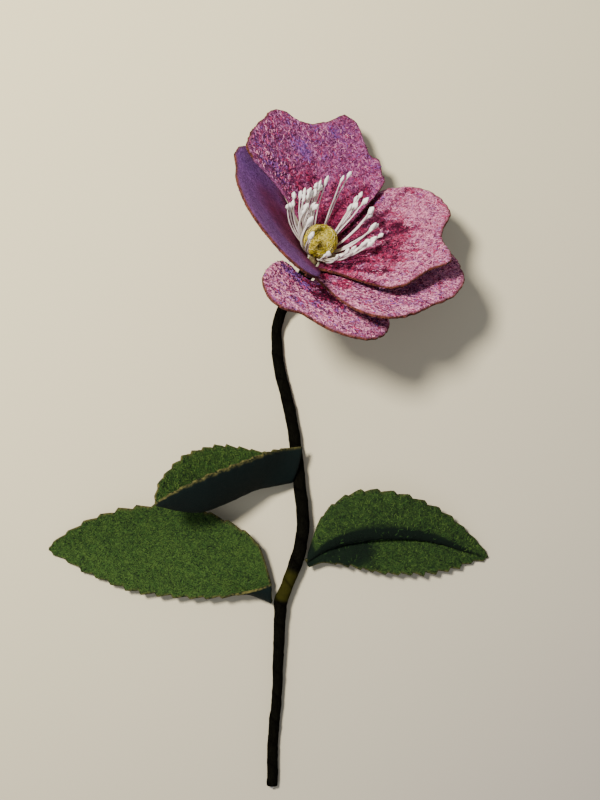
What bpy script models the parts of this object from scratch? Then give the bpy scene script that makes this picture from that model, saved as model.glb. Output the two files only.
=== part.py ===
"""A handmade felt wild rose, laid down on its back.

Five cut felt petals overlap round a bound bunch of white stamens and a fuzzy
ball.  A steel wire runs down a fabric wrapped stem, and three folded felt
leaves hold on to it.  Millimetres are written out and turned into metres by MM.
"""
import math
import random

import bmesh
import bpy
from mathutils import Matrix, Vector

MM = 0.001
WELD_DISTANCE = 0.00001

# Where the flower lies: its box is centred on the origin, on the plane z = 0
FLOWER_SHIFT = (9.73, 16.94, 0.0)

# Bloom: its base, and which way its axis leans
BLOOM_BASE = (3.2, 39.3, 18.4)
BLOOM_TILT = math.radians(42.3)
BLOOM_HEADING = math.radians(59.1)

# Felt, and the gap between one petal and the next one out
PETAL_FELT = 1.3
LEAF_FELT = 1.3
LAYER_GAP = 0.45

# Petals: each is cut with its rim at these distances along the felt from the
# bloom's base, in directions spread evenly over its fan, and starts at its
# claw.  A waist draws the left side in towards the claw: by that share at the
# base, and by nothing from WAIST_REACH on.  A petal opens from the bloom's axis
# by its opening angle, which its roll and cup change towards its sides, and
# starts steeper by CLAW_STEEPNESS, which fades away over CLAW_REACH.  At the
# claw it also wraps further round, by CLAW_WRAP.  Its layer counts outward
# from the innermost petal.
CLAW_STEEPNESS = math.radians(30.0)
CLAW_REACH = 8.0
CLAW_WRAP = math.radians(14.0)
CLAW_WRAP_REACH = 5.0
WAIST_REACH = 45.0
PETAL_ROWS = 5
PETAL_ROW_CROWDING = 1.5
PETAL_CURVE_STEPS = 24
PETALS = {
    "petal_back": {
        "azimuth": 39.5, "opening": 63.0, "roll": -2.0, "cup": -5.0, "fan": 53.0,
        "waist": 0.55, "layer": 0, "claw": 4.3,
        "rim": (10.0, 31.0, 34.5, 37.6, 37.7, 41.2, 45.4, 46.4, 43.6, 42.0, 41.5,
                42.4, 44.9, 45.5, 44.0, 43.0, 42.2, 41.4, 40.5, 39.8, 36.0),
        "colour": (0.36, 0.12, 0.20),
    },
    "petal_left": {
        "azimuth": 131.0, "opening": 52.0, "roll": -4.0, "cup": 10.0, "fan": 52.0,
        "waist": 0.0, "layer": 1, "claw": 2.2,
        "rim": (9.5, 28.0, 37.0, 39.8, 40.6, 40.9, 40.3, 40.4, 41.0, 41.6, 42.0,
                42.6, 43.0, 43.0, 43.0, 43.2, 43.0, 42.0, 39.5, 32.5, 16.0),
        "colour": (0.30, 0.12, 0.28),
    },
    "petal_right": {
        "azimuth": -68.0, "opening": 53.0, "roll": 5.0, "cup": 11.0, "fan": 50.0,
        "waist": 0.0, "layer": 1, "claw": 2.2,
        "rim": (9.5, 30.5, 36.2, 37.5, 38.3, 39.8, 43.8, 43.2, 41.2, 39.6, 39.4,
                40.6, 42.6, 42.8, 42.4, 41.6, 40.2, 38.0, 34.5, 29.0, 9.5),
        "colour": (0.45, 0.17, 0.25),
    },
    "petal_lower": {
        "azimuth": -106.0, "opening": 63.0, "roll": 3.0, "cup": 0.0, "fan": 50.0,
        "waist": 0.0, "layer": 2, "claw": -0.2,
        "rim": (9.0, 22.0, 32.5, 38.5, 40.8, 42.0, 42.2, 42.0, 41.9, 41.6, 42.0,
                43.3, 44.6, 45.0, 45.2, 44.2, 43.0, 41.3, 38.5, 31.0, 8.5),
        "colour": (0.42, 0.17, 0.26),
    },
    "petal_front": {
        "azimuth": -158.0, "opening": 67.0, "roll": 5.0, "cup": 3.0, "fan": 56.0,
        "waist": 0.0, "layer": 3, "claw": -1.3,
        "rim": (11.0, 15.5, 20.5, 26.5, 33.0, 38.0, 41.2, 40.6, 37.4, 38.3, 39.8,
                40.5, 40.8, 40.7, 39.5, 37.5, 34.9, 31.5, 24.5, 14.0, 8.0),
        "colour": (0.40, 0.17, 0.26),
    },
}

# Ball at the heart of the bloom
BALL_RADIUS = 4.1
BALL_HEIGHT = 10.8
BALL_ASIDE = 1.5
BALL_ASIDE_AZIMUTH = math.radians(155.0)
BALL_SEGMENTS = 24
BALL_RINGS = 14
BALL_RELIEF = 0.18
BALL_WAVES = 8.5
BALL_TURNS = (2.0, 0.0, 1.0)

# Stamens: threads with dipped heads, bound in a collar below the ball.  They
# stand in tufts: azimuth and its spread, lean, reach and how many there are.
COLLAR_INNER = 1.8
COLLAR_OUTER = 2.45
COLLAR_BOTTOM = 5.2
COLLAR_TOP = 5.9
COLLAR_STEPS = 24
STAMEN_TUFTS = (
    (108.0, 8.0, 43.0, 20.0, 5),
    (100.0, 8.0, 34.0, 20.8, 4),
    (90.0, 8.0, 28.5, 20.3, 4),
    (72.0, 9.0, 25.0, 21.5, 5),
    (54.0, 2.0, 23.0, 22.0, 1),
    (106.0, 8.0, 22.5, 19.0, 2),
    (120.0, 8.0, 30.0, 19.5, 3),
    (20.0, 4.0, 36.0, 23.5, 2),
    (146.0, 7.0, 29.0, 18.5, 3),
    (164.0, 7.0, 38.0, 17.5, 3),
    (-14.0, 4.0, 39.0, 22.3, 2),
    (-22.0, 8.0, 21.0, 19.8, 3),
    (-20.0, 6.0, 13.0, 18.0, 2),
    (-50.0, 8.0, 30.0, 20.8, 3),
    (-71.0, 8.0, 34.0, 19.5, 3),
    (-88.0, 6.0, 41.0, 20.0, 3),
    (-108.0, 8.0, 37.0, 19.5, 4),
    (-132.0, 8.0, 38.0, 18.0, 4),
    (-152.0, 6.0, 44.0, 17.5, 3),
    (-164.0, 4.0, 48.0, 15.5, 1),
)
STAMEN_AZIMUTH_DRIFT = 2.5
STAMEN_LEAN_DRIFT = 2.5
STAMEN_REACH_DRIFT = 1.2
STAMEN_BEND = 6.0
STAMEN_SEED = 7
STAMEN_ROOT_OUT = 2.12
STAMEN_ROOT_HEIGHT = 5.55
# A thread bows out past the ball, then straightens: its knee lies at these
# shares of the way from root to tip, outward and upward, and moves out by
# steps until the thread clears the ball's middle by this much
STAMEN_KNEE = (0.74, 0.30)
STAMEN_KNEE_STEP = 0.25
STAMEN_CLEAR_OF_BALL = 4.9
STAMEN_CHECKS = 24
THREAD_RADIUS = 0.25
THREAD_MIDDLE_STATIONS = (0.14, 0.28, 0.42, 0.56)
HEAD_LENGTH = 2.8
HEAD_RADIUS = 0.62
# Along a head: its distance from the tip as a share of the head's length,
# and its radius as a share of the head's widest
HEAD_PROFILE = ((1.0, 0.42), (0.62, 0.9), (0.3, 1.0), (0.0, 0.13))

# Stem: points down the middle of the stem, each with the wrap's radius
STEM_ROUTE = (
    (5.1, 42.5, 22.5, 1.5),
    (3.2, 39.3, 18.4, 1.5),
    (2.2, 37.6, 16.2, 2.2),
    (1.6, 36.6, 14.9, 2.3),
    (0.2, 34.5, 12.3, 1.8),
    (-2.6, 31.0, 8.6, 1.65),
    (-5.4, 27.0, 5.2, 1.65),
    (-6.9, 22.5, 2.9, 1.65),
    (-7.1, 18.0, 1.8, 1.7),
    (-6.3, 9.7, 1.85, 1.8),
    (-4.0, 0.5, 2.1, 1.85),
    (-2.0, -9.4, 2.6, 1.85),
    (-0.9, -18.0, 3.2, 1.9),
    (-0.2, -25.0, 3.8, 1.95),
    (0.9, -36.0, 4.4, 2.0),
    (0.3, -43.0, 4.4, 2.0),
    (-1.2, -49.0, 4.2, 2.2),
    (-3.9, -56.0, 4.0, 1.9),
    (-5.7, -60.5, 3.9, 2.15),
    (-6.0, -65.0, 3.7, 1.9),
    (-6.6, -78.5, 3.0, 1.7),
    (-7.0, -89.5, 2.4, 1.6),
    (-8.2, -102.5, 1.9, 1.7),
    (-8.5, -117.0, 1.75, 1.7),
)
STEM_SPAN_STEPS = 2
WRAP_RESOLUTION = 3
WIRE_RESOLUTION = 2
WIRE_RADIUS = 0.55
WIRE_SHOWS = 0.8
WIRE_GAP = 0.3

# Leaves: the fold line and the two cut edges of each, and its teeth.  The
# arch lifts a half between the fold and its edge, as a share of its width,
# and a crown below 1 brings the highest part of the arch nearer to the fold.
# Columns of vertices lie at the fold and at these shares of a half's width.
LEAF_COLUMN_SHARES = (0.12, 0.32, 0.66, 1.0)
LEAVES = {
    "leaf_upper": {
        "fold": ((-2.4, -24.4, 5.0), (-8.5, -25.4, 8.0), (-13.5, -26.4, 10.5),
                 (-22.0, -30.0, 15.5), (-30.0, -32.0, 20.5), (-41.0, -29.5, 27.0)),
        "edges": (
            ((0.5, -14.0, 7.8), (-4.5, -14.5, 12.0), (-9.5, -15.5, 18.0),
             (-18.0, -18.5, 24.5), (-26.0, -21.5, 29.0), (-33.5, -25.0, 30.5),
             (-38.0, -27.5, 29.5), (-41.0, -29.5, 27.0)),
            ((-3.4, -16.5, 4.0), (-10.0, -16.0, 6.5), (-18.0, -14.5, 9.0),
             (-25.0, -14.0, 12.0), (-31.0, -15.5, 16.0), (-34.5, -17.5, 19.0),
             (-38.0, -21.0, 22.0), (-40.0, -24.0, 24.5), (-41.0, -29.5, 27.0)),
        ),
        "arch": (0.06, 0.06), "crown": (1.0, 1.0), "teeth": 12, "tooth_depth": 0.8,
    },
    "leaf_left": {
        "fold": ((-8.5, -61.0, 4.2), (-16.5, -57.5, 3.6), (-22.5, -54.0, 3.0),
                 (-30.5, -50.5, 2.4), (-45.5, -46.5, 1.6), (-61.0, -44.5, 1.1),
                 (-77.0, -45.5, 0.75)),
        "edges": (
            ((-8.5, -55.0, 8.4), (-12.5, -56.5, 8.6), (-16.5, -57.5, 8.2),
             (-22.0, -58.5, 7.0), (-30.0, -59.0, 6.0), (-39.0, -58.5, 5.4),
             (-50.5, -57.0, 4.4), (-62.0, -53.0, 2.8), (-71.0, -48.5, 1.5),
             (-77.0, -45.5, 0.75)),
            ((-9.0, -55.0, 5.0), (-11.0, -47.5, 6.0), (-14.5, -41.5, 6.6),
             (-22.5, -36.5, 6.8), (-33.0, -32.5, 6.5), (-47.0, -32.5, 5.6),
             (-60.5, -35.5, 4.0), (-70.5, -40.5, 2.2), (-77.0, -45.5, 0.75)),
        ),
        "arch": (0.06, 0.06), "crown": (1.0, 1.0), "teeth": 13, "tooth_depth": 1.0,
    },
    "leaf_right": {
        "fold": ((1.7, -48.5, 4.4), (9.0, -44.0, 3.6), (20.5, -41.5, 2.6),
                 (34.0, -41.5, 1.9), (42.5, -43.0, 1.4), (50.0, -45.5, 1.0),
                 (57.5, -48.0, 0.75)),
        "edges": (
            ((3.05, -45.0, 4.8), (5.6, -37.0, 7.0), (10.5, -31.0, 8.0),
             (18.5, -27.5, 8.0), (30.0, -28.5, 7.0), (42.0, -33.5, 5.0),
             (52.0, -41.5, 2.4), (57.5, -48.0, 0.75)),
            ((2.7, -50.5, 4.4), (7.0, -49.0, 4.8), (14.5, -49.5, 5.2),
             (24.0, -51.5, 5.4), (34.0, -52.0, 5.0), (44.0, -51.0, 3.8),
             (51.5, -49.0, 2.0), (57.5, -48.0, 0.75)),
        ),
        "arch": (-0.26, 0.04), "crown": (0.5, 1.0), "teeth": 13, "tooth_depth": 1.1,
    },
}
# Rows of vertices cross a leaf at these shares of its length, then at the
# start and the peak of each tooth.  The first and last teeth are lower.
LEAF_BASE_ROWS = (0.0, 0.04)
TEETH_SPAN = (0.09, 0.98)
TOOTH_PEAK = 0.8
FIRST_TOOTH = 0.5
LAST_TEETH_FROM = 0.85
LAST_TOOTH = 0.7
EDGE_SAMPLES = 200

# Finishes
FELT_ROUGHNESS = 0.95
LEAF_COLOUR = (0.045, 0.085, 0.02)
BALL_COLOUR = (0.42, 0.35, 0.07)
STAMEN_COLOUR = (0.85, 0.84, 0.80)
WRAP_COLOUR = (0.02, 0.02, 0.012)
STEEL_COLOUR = (0.5, 0.5, 0.5)

COLLECTION_NAME = "felt_wild_rose"


def clear_scene():
    """Remove every object that the file opened with."""
    for obj in list(bpy.data.objects):
        bpy.data.objects.remove(obj, do_unlink=True)


def new_collection(name):
    collection = bpy.data.collections.new(name)
    bpy.context.scene.collection.children.link(collection)
    return collection


def new_material(name, colour, roughness, metallic=0.0):
    material = bpy.data.materials.new(name)
    material.use_nodes = True
    shader = material.node_tree.nodes["Principled BSDF"]
    shader.inputs["Base Color"].default_value = (*colour, 1.0)
    shader.inputs["Roughness"].default_value = roughness
    shader.inputs["Metallic"].default_value = metallic
    material.diffuse_color = (*colour, 1.0)
    return material


def add_mesh(name, vertices, faces, collection, material):
    """Make a mesh object; its vertices are given in millimetres."""
    mesh = bpy.data.meshes.new(name)
    mesh.from_pydata([Vector(v) * MM for v in vertices], [], faces)
    mesh.materials.append(material)
    obj = bpy.data.objects.new(name, mesh)
    collection.objects.link(obj)
    return obj


def add_thickness(obj, thickness):
    """Thicken a sheet by half of the thickness to either side."""
    solidify = obj.modifiers.new("thickness", "SOLIDIFY")
    solidify.thickness = thickness * MM
    solidify.offset = 0.0
    solidify.use_even_offset = False


def smooth_point(points, place):
    """Point at place, from 0 to 1, on a smooth curve through the points."""
    spans = len(points) - 1
    position = min(max(place, 0.0), 1.0) * spans
    span = min(int(position), spans - 1)
    t = position - span
    rows = [points[min(max(span + k, 0), spans)] for k in (-1, 0, 1, 2)]
    if span == 0:
        rows[0] = [2 * a - b for a, b in zip(points[0], points[1])]
    if span == spans - 1:
        rows[3] = [2 * a - b for a, b in zip(points[-1], points[-2])]
    return [
        0.5 * (2 * b + (c - a) * t + (2 * a - 5 * b + 4 * c - d) * t ** 2
               + (3 * b - a - 3 * c + d) * t ** 3)
        for a, b, c, d in zip(*rows)
    ]


def even_points(points, places):
    """Points at the given shares of a smooth curve's length."""
    line = [Vector(smooth_point(points, k / EDGE_SAMPLES)) for k in range(EDGE_SAMPLES + 1)]
    lengths = [0.0]
    for start, end in zip(line, line[1:]):
        lengths.append(lengths[-1] + (end - start).length)
    found = []
    k = 0
    for place in places:
        target = place * lengths[-1]
        while k < EDGE_SAMPLES - 1 and lengths[k + 1] < target:
            k += 1
        share = (target - lengths[k]) / (lengths[k + 1] - lengths[k])
        found.append(line[k].lerp(line[k + 1], min(max(share, 0.0), 1.0)))
    return found


def bloom_matrix():
    """Frame of the bloom: Z along its axis, X the way that the axis leans."""
    lean = Matrix.Rotation(BLOOM_HEADING, 4, "Z") @ Matrix.Rotation(BLOOM_TILT, 4, "Y")
    return Matrix.Translation(Vector(BLOOM_BASE) * MM) @ lean


def petal_point(petal, across, reach):
    """Middle of the felt, across from -1 to 1, at a reach along the felt."""
    opening = math.radians(petal["opening"])
    lean = opening + math.radians(petal["roll"] * across + petal["cup"] * across ** 2)
    step = reach / PETAL_CURVE_STEPS
    out = 0.0
    up = 0.0
    for k in range(PETAL_CURVE_STEPS):
        slope = lean - CLAW_STEEPNESS * math.exp(-(k + 0.5) * step / CLAW_REACH)
        out += math.sin(slope) * step
        up += math.cos(slope) * step
    slope = lean - CLAW_STEEPNESS * math.exp(-reach / CLAW_REACH)
    depth = petal["layer"] * (PETAL_FELT + LAYER_GAP)
    out += depth * math.cos(slope)
    up -= depth * math.sin(slope)
    waist = petal["waist"] * max(0.0, 1.0 - reach / WAIST_REACH) if across > 0 else 0.0
    turn = math.radians(petal["azimuth"] + petal["fan"] * across * (1 - waist) / math.sin(opening))
    turn += CLAW_WRAP * across * math.exp(-reach / CLAW_WRAP_REACH)
    return Vector((out * math.cos(turn), out * math.sin(turn), up))


def make_petal(name, petal, collection, frame):
    """A sheet of felt, its rows closer together near the claw."""
    columns = len(petal["rim"]) - 1
    vertices = []
    for j, edge in enumerate(petal["rim"]):
        for i in range(PETAL_ROWS + 1):
            share = (i / PETAL_ROWS) ** PETAL_ROW_CROWDING
            reach = petal["claw"] + (edge - petal["claw"]) * share
            vertices.append(petal_point(petal, 2 * j / columns - 1, reach))
    faces = grid_triangles(columns, PETAL_ROWS)
    material = new_material(name + "_felt", petal["colour"], FELT_ROUGHNESS)
    obj = add_mesh(name, vertices, faces, collection, material)
    add_thickness(obj, PETAL_FELT)
    obj.parent = frame


def grid_triangles(columns, rows):
    """Triangles of a sheet whose vertices run up each column in turn."""
    faces = []
    for j in range(columns):
        for i in range(rows):
            a = j * (rows + 1) + i
            b = a + rows + 1
            faces.append((a, b, b + 1))
            faces.append((a, b + 1, a + 1))
    return faces


def ball_middle():
    """Middle of the ball, in the bloom's frame."""
    aside = Vector((math.cos(BALL_ASIDE_AZIMUTH), math.sin(BALL_ASIDE_AZIMUTH), 0.0))
    return aside * BALL_ASIDE + Vector((0.0, 0.0, BALL_HEIGHT))


def make_ball(collection, frame):
    """A ball with shallow lumps, seated between the stamens."""
    bm = bmesh.new()
    bmesh.ops.create_uvsphere(bm, u_segments=BALL_SEGMENTS, v_segments=BALL_RINGS,
                              radius=BALL_RADIUS * MM)
    for vertex in bm.verts:
        outward = vertex.co.normalized()
        lumps = math.prod(math.sin(BALL_WAVES * x + turn) for x, turn in zip(outward, BALL_TURNS))
        vertex.co += outward * BALL_RELIEF * lumps * MM
    mesh = bpy.data.meshes.new("centre_ball")
    bm.to_mesh(mesh)
    bm.free()
    mesh.materials.append(new_material("ball_fuzz", BALL_COLOUR, FELT_ROUGHNESS))
    mesh.shade_smooth()
    obj = bpy.data.objects.new("centre_ball", mesh)
    collection.objects.link(obj)
    obj.location = ball_middle() * MM
    obj.parent = frame


def stamen_points(azimuth, bend, root, knee, tip, shares):
    """Points at these shares of a bowed thread, in the bloom's frame."""
    points = []
    for s in shares:
        out, up = [(1 - s) ** 2 * a + 2 * s * (1 - s) * b + s ** 2 * c
                   for a, b, c in zip(root, knee, tip)]
        turn = azimuth + bend * s * s
        points.append(Vector((out * math.cos(turn), out * math.sin(turn), up)))
    return points


def clear_of_ball(points):
    middle = ball_middle()
    return min((point - middle).length for point in points) >= STAMEN_CLEAR_OF_BALL


def stamen_path(azimuth, lean, reach, bend):
    """Points along one thread and its head, and radii along it."""
    root = (STAMEN_ROOT_OUT, STAMEN_ROOT_HEIGHT)
    tip = (reach * math.sin(lean), STAMEN_ROOT_HEIGHT + reach * math.cos(lean))
    knee = [a + share * (b - a) for a, b, share in zip(root, tip, STAMEN_KNEE)]
    checks = [k / STAMEN_CHECKS for k in range(STAMEN_CHECKS + 1)]
    while not clear_of_ball(stamen_points(azimuth, bend, root, knee, tip, checks)):
        knee[0] += STAMEN_KNEE_STEP
    head = HEAD_LENGTH / math.dist(root, tip)
    stations = [(0.0, THREAD_RADIUS)]
    stations += [(s, THREAD_RADIUS) for s in THREAD_MIDDLE_STATIONS]
    stations += [(1.0 - back * head, swell * HEAD_RADIUS) for back, swell in HEAD_PROFILE]
    shares = [share for share, _ in stations]
    radii = [radius for _, radius in stations]
    return stamen_points(azimuth, bend, root, knee, tip, shares), radii


def stamen_places():
    """Azimuth, lean, reach and bend of every stamen, tuft by tuft."""
    draw = random.Random(STAMEN_SEED)
    places = []
    for azimuth, spread, lean, reach, count in STAMEN_TUFTS:
        for k in range(count):
            turn = azimuth + spread * (2 * (k + 0.5) / count - 1)
            turn += draw.uniform(-STAMEN_AZIMUTH_DRIFT, STAMEN_AZIMUTH_DRIFT)
            tilt = lean + draw.uniform(-STAMEN_LEAN_DRIFT, STAMEN_LEAN_DRIFT)
            length = reach + draw.uniform(-STAMEN_REACH_DRIFT, STAMEN_REACH_DRIFT)
            bend = draw.uniform(-STAMEN_BEND, STAMEN_BEND)
            places.append((math.radians(turn), math.radians(tilt), length, math.radians(bend)))
    return places


def curve_tube(name, points, radii, resolution, collection, material):
    """A closed tube along the points, in millimetres, as a mesh object."""
    data = bpy.data.curves.new(name, "CURVE")
    data.dimensions = "3D"
    data.bevel_depth = MM
    data.bevel_resolution = resolution
    data.use_fill_caps = True
    spline = data.splines.new("POLY")
    spline.points.add(len(points) - 1)
    for point, place, radius in zip(spline.points, points, radii):
        point.co = (*(Vector(place) * MM), 1.0)
        point.radius = radius
    curve = bpy.data.objects.new(name, data)
    bpy.context.scene.collection.objects.link(curve)
    evaluated = curve.evaluated_get(bpy.context.evaluated_depsgraph_get())
    mesh = bpy.data.meshes.new_from_object(evaluated)
    bpy.data.objects.remove(curve, do_unlink=True)
    bm = bmesh.new()
    bm.from_mesh(mesh)
    bmesh.ops.remove_doubles(bm, verts=bm.verts, dist=WELD_DISTANCE)
    bm.to_mesh(mesh)
    bm.free()
    mesh.materials.clear()
    mesh.materials.append(material)
    obj = bpy.data.objects.new(name, mesh)
    collection.objects.link(obj)
    return obj


def make_stamens(collection, frame):
    """All threads and heads joined to the collar that binds them."""
    material = new_material("stamen_white", STAMEN_COLOUR, 0.6)
    profile = ((COLLAR_INNER, COLLAR_TOP), (COLLAR_OUTER, COLLAR_TOP),
               (COLLAR_OUTER, COLLAR_BOTTOM), (COLLAR_INNER, COLLAR_BOTTOM))
    mesh = bpy.data.meshes.new("stamens")
    mesh.from_pydata([(x * MM, 0, z * MM) for x, z in profile],
                     [(k, (k + 1) % 4) for k in range(4)], [])
    mesh.materials.append(material)
    obj = bpy.data.objects.new("stamens", mesh)
    collection.objects.link(obj)
    screw = obj.modifiers.new("turn", "SCREW")
    screw.steps = screw.render_steps = COLLAR_STEPS
    screw.use_merge_vertices = True
    screw.merge_threshold = WELD_DISTANCE
    threads = new_collection("stamen_threads")
    for azimuth, lean, reach, bend in stamen_places():
        points, radii = stamen_path(azimuth, lean, reach, bend)
        curve_tube("thread", points, radii, 0, threads, material)
    union = obj.modifiers.new("union", "BOOLEAN")
    union.operation = "UNION"
    union.operand_type = "COLLECTION"
    union.collection = threads
    apply_modifiers(obj)
    for thread in list(threads.objects):
        bpy.data.objects.remove(thread, do_unlink=True)
    bpy.data.collections.remove(threads)
    obj.parent = frame


def apply_modifiers(obj):
    """Replace an object's mesh by its evaluated one, and drop its modifiers."""
    evaluated = obj.evaluated_get(bpy.context.evaluated_depsgraph_get())
    mesh = bpy.data.meshes.new_from_object(evaluated)
    obj.modifiers.clear()
    obj.data = mesh


def stem_line():
    """Points and wrap radii down the stem."""
    steps = (len(STEM_ROUTE) - 1) * STEM_SPAN_STEPS
    rows = [smooth_point(STEM_ROUTE, k / steps) for k in range(steps + 1)]
    return [Vector(row[:3]) for row in rows], [row[3] for row in rows]


def lengthened(points, extra_start, extra_end):
    """The same points, with the first and last moved straight outward."""
    start = points[0] + (points[0] - points[1]).normalized() * extra_start
    end = points[-1] + (points[-1] - points[-2]).normalized() * extra_end
    return [start] + points[1:-1] + [end]


def make_stem(collection, cutters, root):
    """The fabric wrap, bored right through, and the wire that runs in it."""
    points, radii = stem_line()
    fabric = new_material("wrap_fabric", WRAP_COLOUR, FELT_ROUGHNESS)
    wrap = curve_tube("stem_wrap", points, radii, WRAP_RESOLUTION, collection, fabric)
    wrap.parent = root
    bore_radii = [WIRE_RADIUS + WIRE_GAP] * len(points)
    bore_points = lengthened(points, 1.0, 1.0)
    bore = curve_tube("stem_bore", bore_points, bore_radii, WIRE_RESOLUTION, cutters, fabric)
    bore.parent = root
    bore.hide_render = True
    bore.display_type = "WIRE"
    cut = wrap.modifiers.new("bore", "BOOLEAN")
    cut.operation = "DIFFERENCE"
    cut.object = bore
    steel = new_material("wire_steel", STEEL_COLOUR, 0.4, metallic=1.0)
    wire_points = lengthened(points, 0.0, WIRE_SHOWS)
    wire_radii = [WIRE_RADIUS] * len(points)
    wire = curve_tube("stem_wire", wire_points, wire_radii, WIRE_RESOLUTION, collection, steel)
    wire.parent = root


def leaf_rows(leaf):
    """Each row's place along a leaf, and its tooth's share of the full depth."""
    rows = [(place, 0.0) for place in LEAF_BASE_ROWS]
    first, last = TEETH_SPAN
    step = (last - first) / leaf["teeth"]
    for k in range(leaf["teeth"]):
        share = (k + 0.5) / leaf["teeth"]
        depth = min(1.0, FIRST_TOOTH + share)
        if share > LAST_TEETH_FROM:
            depth = LAST_TOOTH
        rows += [(first + k * step, 0.0), (first + (k + TOOTH_PEAK) * step, depth)]
    return rows + [(last, 0.0), (1.0, 0.0)]


def make_leaf(name, leaf, collection, root):
    """Two arched halves of felt that meet in the fold, with toothed edges."""
    rows = leaf_rows(leaf)
    places = [place for place, _ in rows]
    fold = even_points(leaf["fold"], places)
    edges = [even_points(edge, places) for edge in leaf["edges"]]
    vertices = []
    for i, middle in enumerate(fold):
        along = fold[min(i + 1, len(fold) - 1)] - fold[max(i - 1, 0)]
        halves = []
        for side, edge in enumerate(edges):
            across = edge[i] - middle
            lift = along.cross(across) if side else across.cross(along)
            lift = lift.normalized() * across.length * leaf["arch"][side]
            rises = [w ** leaf["crown"][side] for w in LEAF_COLUMN_SHARES]
            half = [middle + across * w + lift * 4 * rise * (1 - rise)
                    for w, rise in zip(LEAF_COLUMN_SHARES, rises)]
            half[-1] += across.normalized() * rows[i][1] * leaf["tooth_depth"]
            halves.append(half)
        vertices += list(reversed(halves[0])) + [middle] + halves[1]
    per_row = 2 * len(LEAF_COLUMN_SHARES)
    last_row = (len(fold) - 2) * (per_row + 1)
    tip = last_row + per_row + 1
    faces = grid_triangles(len(fold) - 2, per_row)
    faces += [(last_row + k, tip, last_row + k + 1) for k in range(per_row)]
    vertices = vertices[:tip] + [fold[-1]]
    material = new_material(name + "_felt", LEAF_COLOUR, FELT_ROUGHNESS)
    obj = add_mesh(name, vertices, faces, collection, material)
    add_thickness(obj, LEAF_FELT)
    obj.parent = root


def main():
    clear_scene()
    collection = new_collection(COLLECTION_NAME)
    cutters = new_collection(COLLECTION_NAME + "_cutters")
    root = bpy.data.objects.new("flower_place", None)
    root.location = Vector(FLOWER_SHIFT) * MM
    collection.objects.link(root)
    frame = bpy.data.objects.new("bloom_place", None)
    collection.objects.link(frame)
    frame.parent = root
    frame.matrix_local = bloom_matrix()
    bpy.context.view_layer.update()
    for name, petal in PETALS.items():
        make_petal(name, petal, collection, frame)
    make_ball(collection, frame)
    make_stamens(collection, frame)
    make_stem(collection, cutters, root)
    for name, leaf in LEAVES.items():
        make_leaf(name, leaf, collection, root)


main()
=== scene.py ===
"""Looks of a handmade felt wild rose that lies on a pale surface.

The petals, leaves, ball, stamens and stem wrap are rebuilt finely over their
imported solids, and the wire in the stem gets its finish.  Sizes are in
millimetres, and MM turns them into the frame's metres.
"""

import math
import random

import bpy
import numpy as np
from bpy.props import FloatProperty, FloatVectorProperty, IntProperty, PointerProperty
from mathutils import Matrix, Vector


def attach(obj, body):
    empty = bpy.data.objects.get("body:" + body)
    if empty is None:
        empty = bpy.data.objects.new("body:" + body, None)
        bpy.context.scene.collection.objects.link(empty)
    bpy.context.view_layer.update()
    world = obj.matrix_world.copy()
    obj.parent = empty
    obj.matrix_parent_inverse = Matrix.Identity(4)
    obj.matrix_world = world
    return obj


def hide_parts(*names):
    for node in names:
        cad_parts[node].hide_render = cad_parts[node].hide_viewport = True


bl_info = {
    "name": "Felt wild rose",
    "version": (1, 0, 0),
    "blender": (4, 5, 0),
    "location": "View3D > Sidebar > Felt rose",
    "description": "Builds the felt, thread and tape of a handmade wild rose",
    "category": "Object",
}

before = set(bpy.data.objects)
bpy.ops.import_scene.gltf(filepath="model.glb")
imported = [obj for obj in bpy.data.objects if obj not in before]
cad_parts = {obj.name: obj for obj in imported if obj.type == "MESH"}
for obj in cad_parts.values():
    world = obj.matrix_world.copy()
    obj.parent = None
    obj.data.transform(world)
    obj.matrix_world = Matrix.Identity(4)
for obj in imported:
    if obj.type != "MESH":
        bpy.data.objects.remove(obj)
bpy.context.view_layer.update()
MM = 0.001

# Where the flower lies, and where its bloom sits and leans
FLOWER_SHIFT = (9.73, 16.94, 0.0)
BLOOM_BASE = (3.2, 39.3, 18.4)
BLOOM_TILT = math.radians(42.3)
BLOOM_HEADING = math.radians(59.1)

# Felt, and the gap between one petal and the next one out
PETAL_FELT = 1.3
LEAF_FELT = 1.3
LAYER_GAP = 0.45

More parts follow.
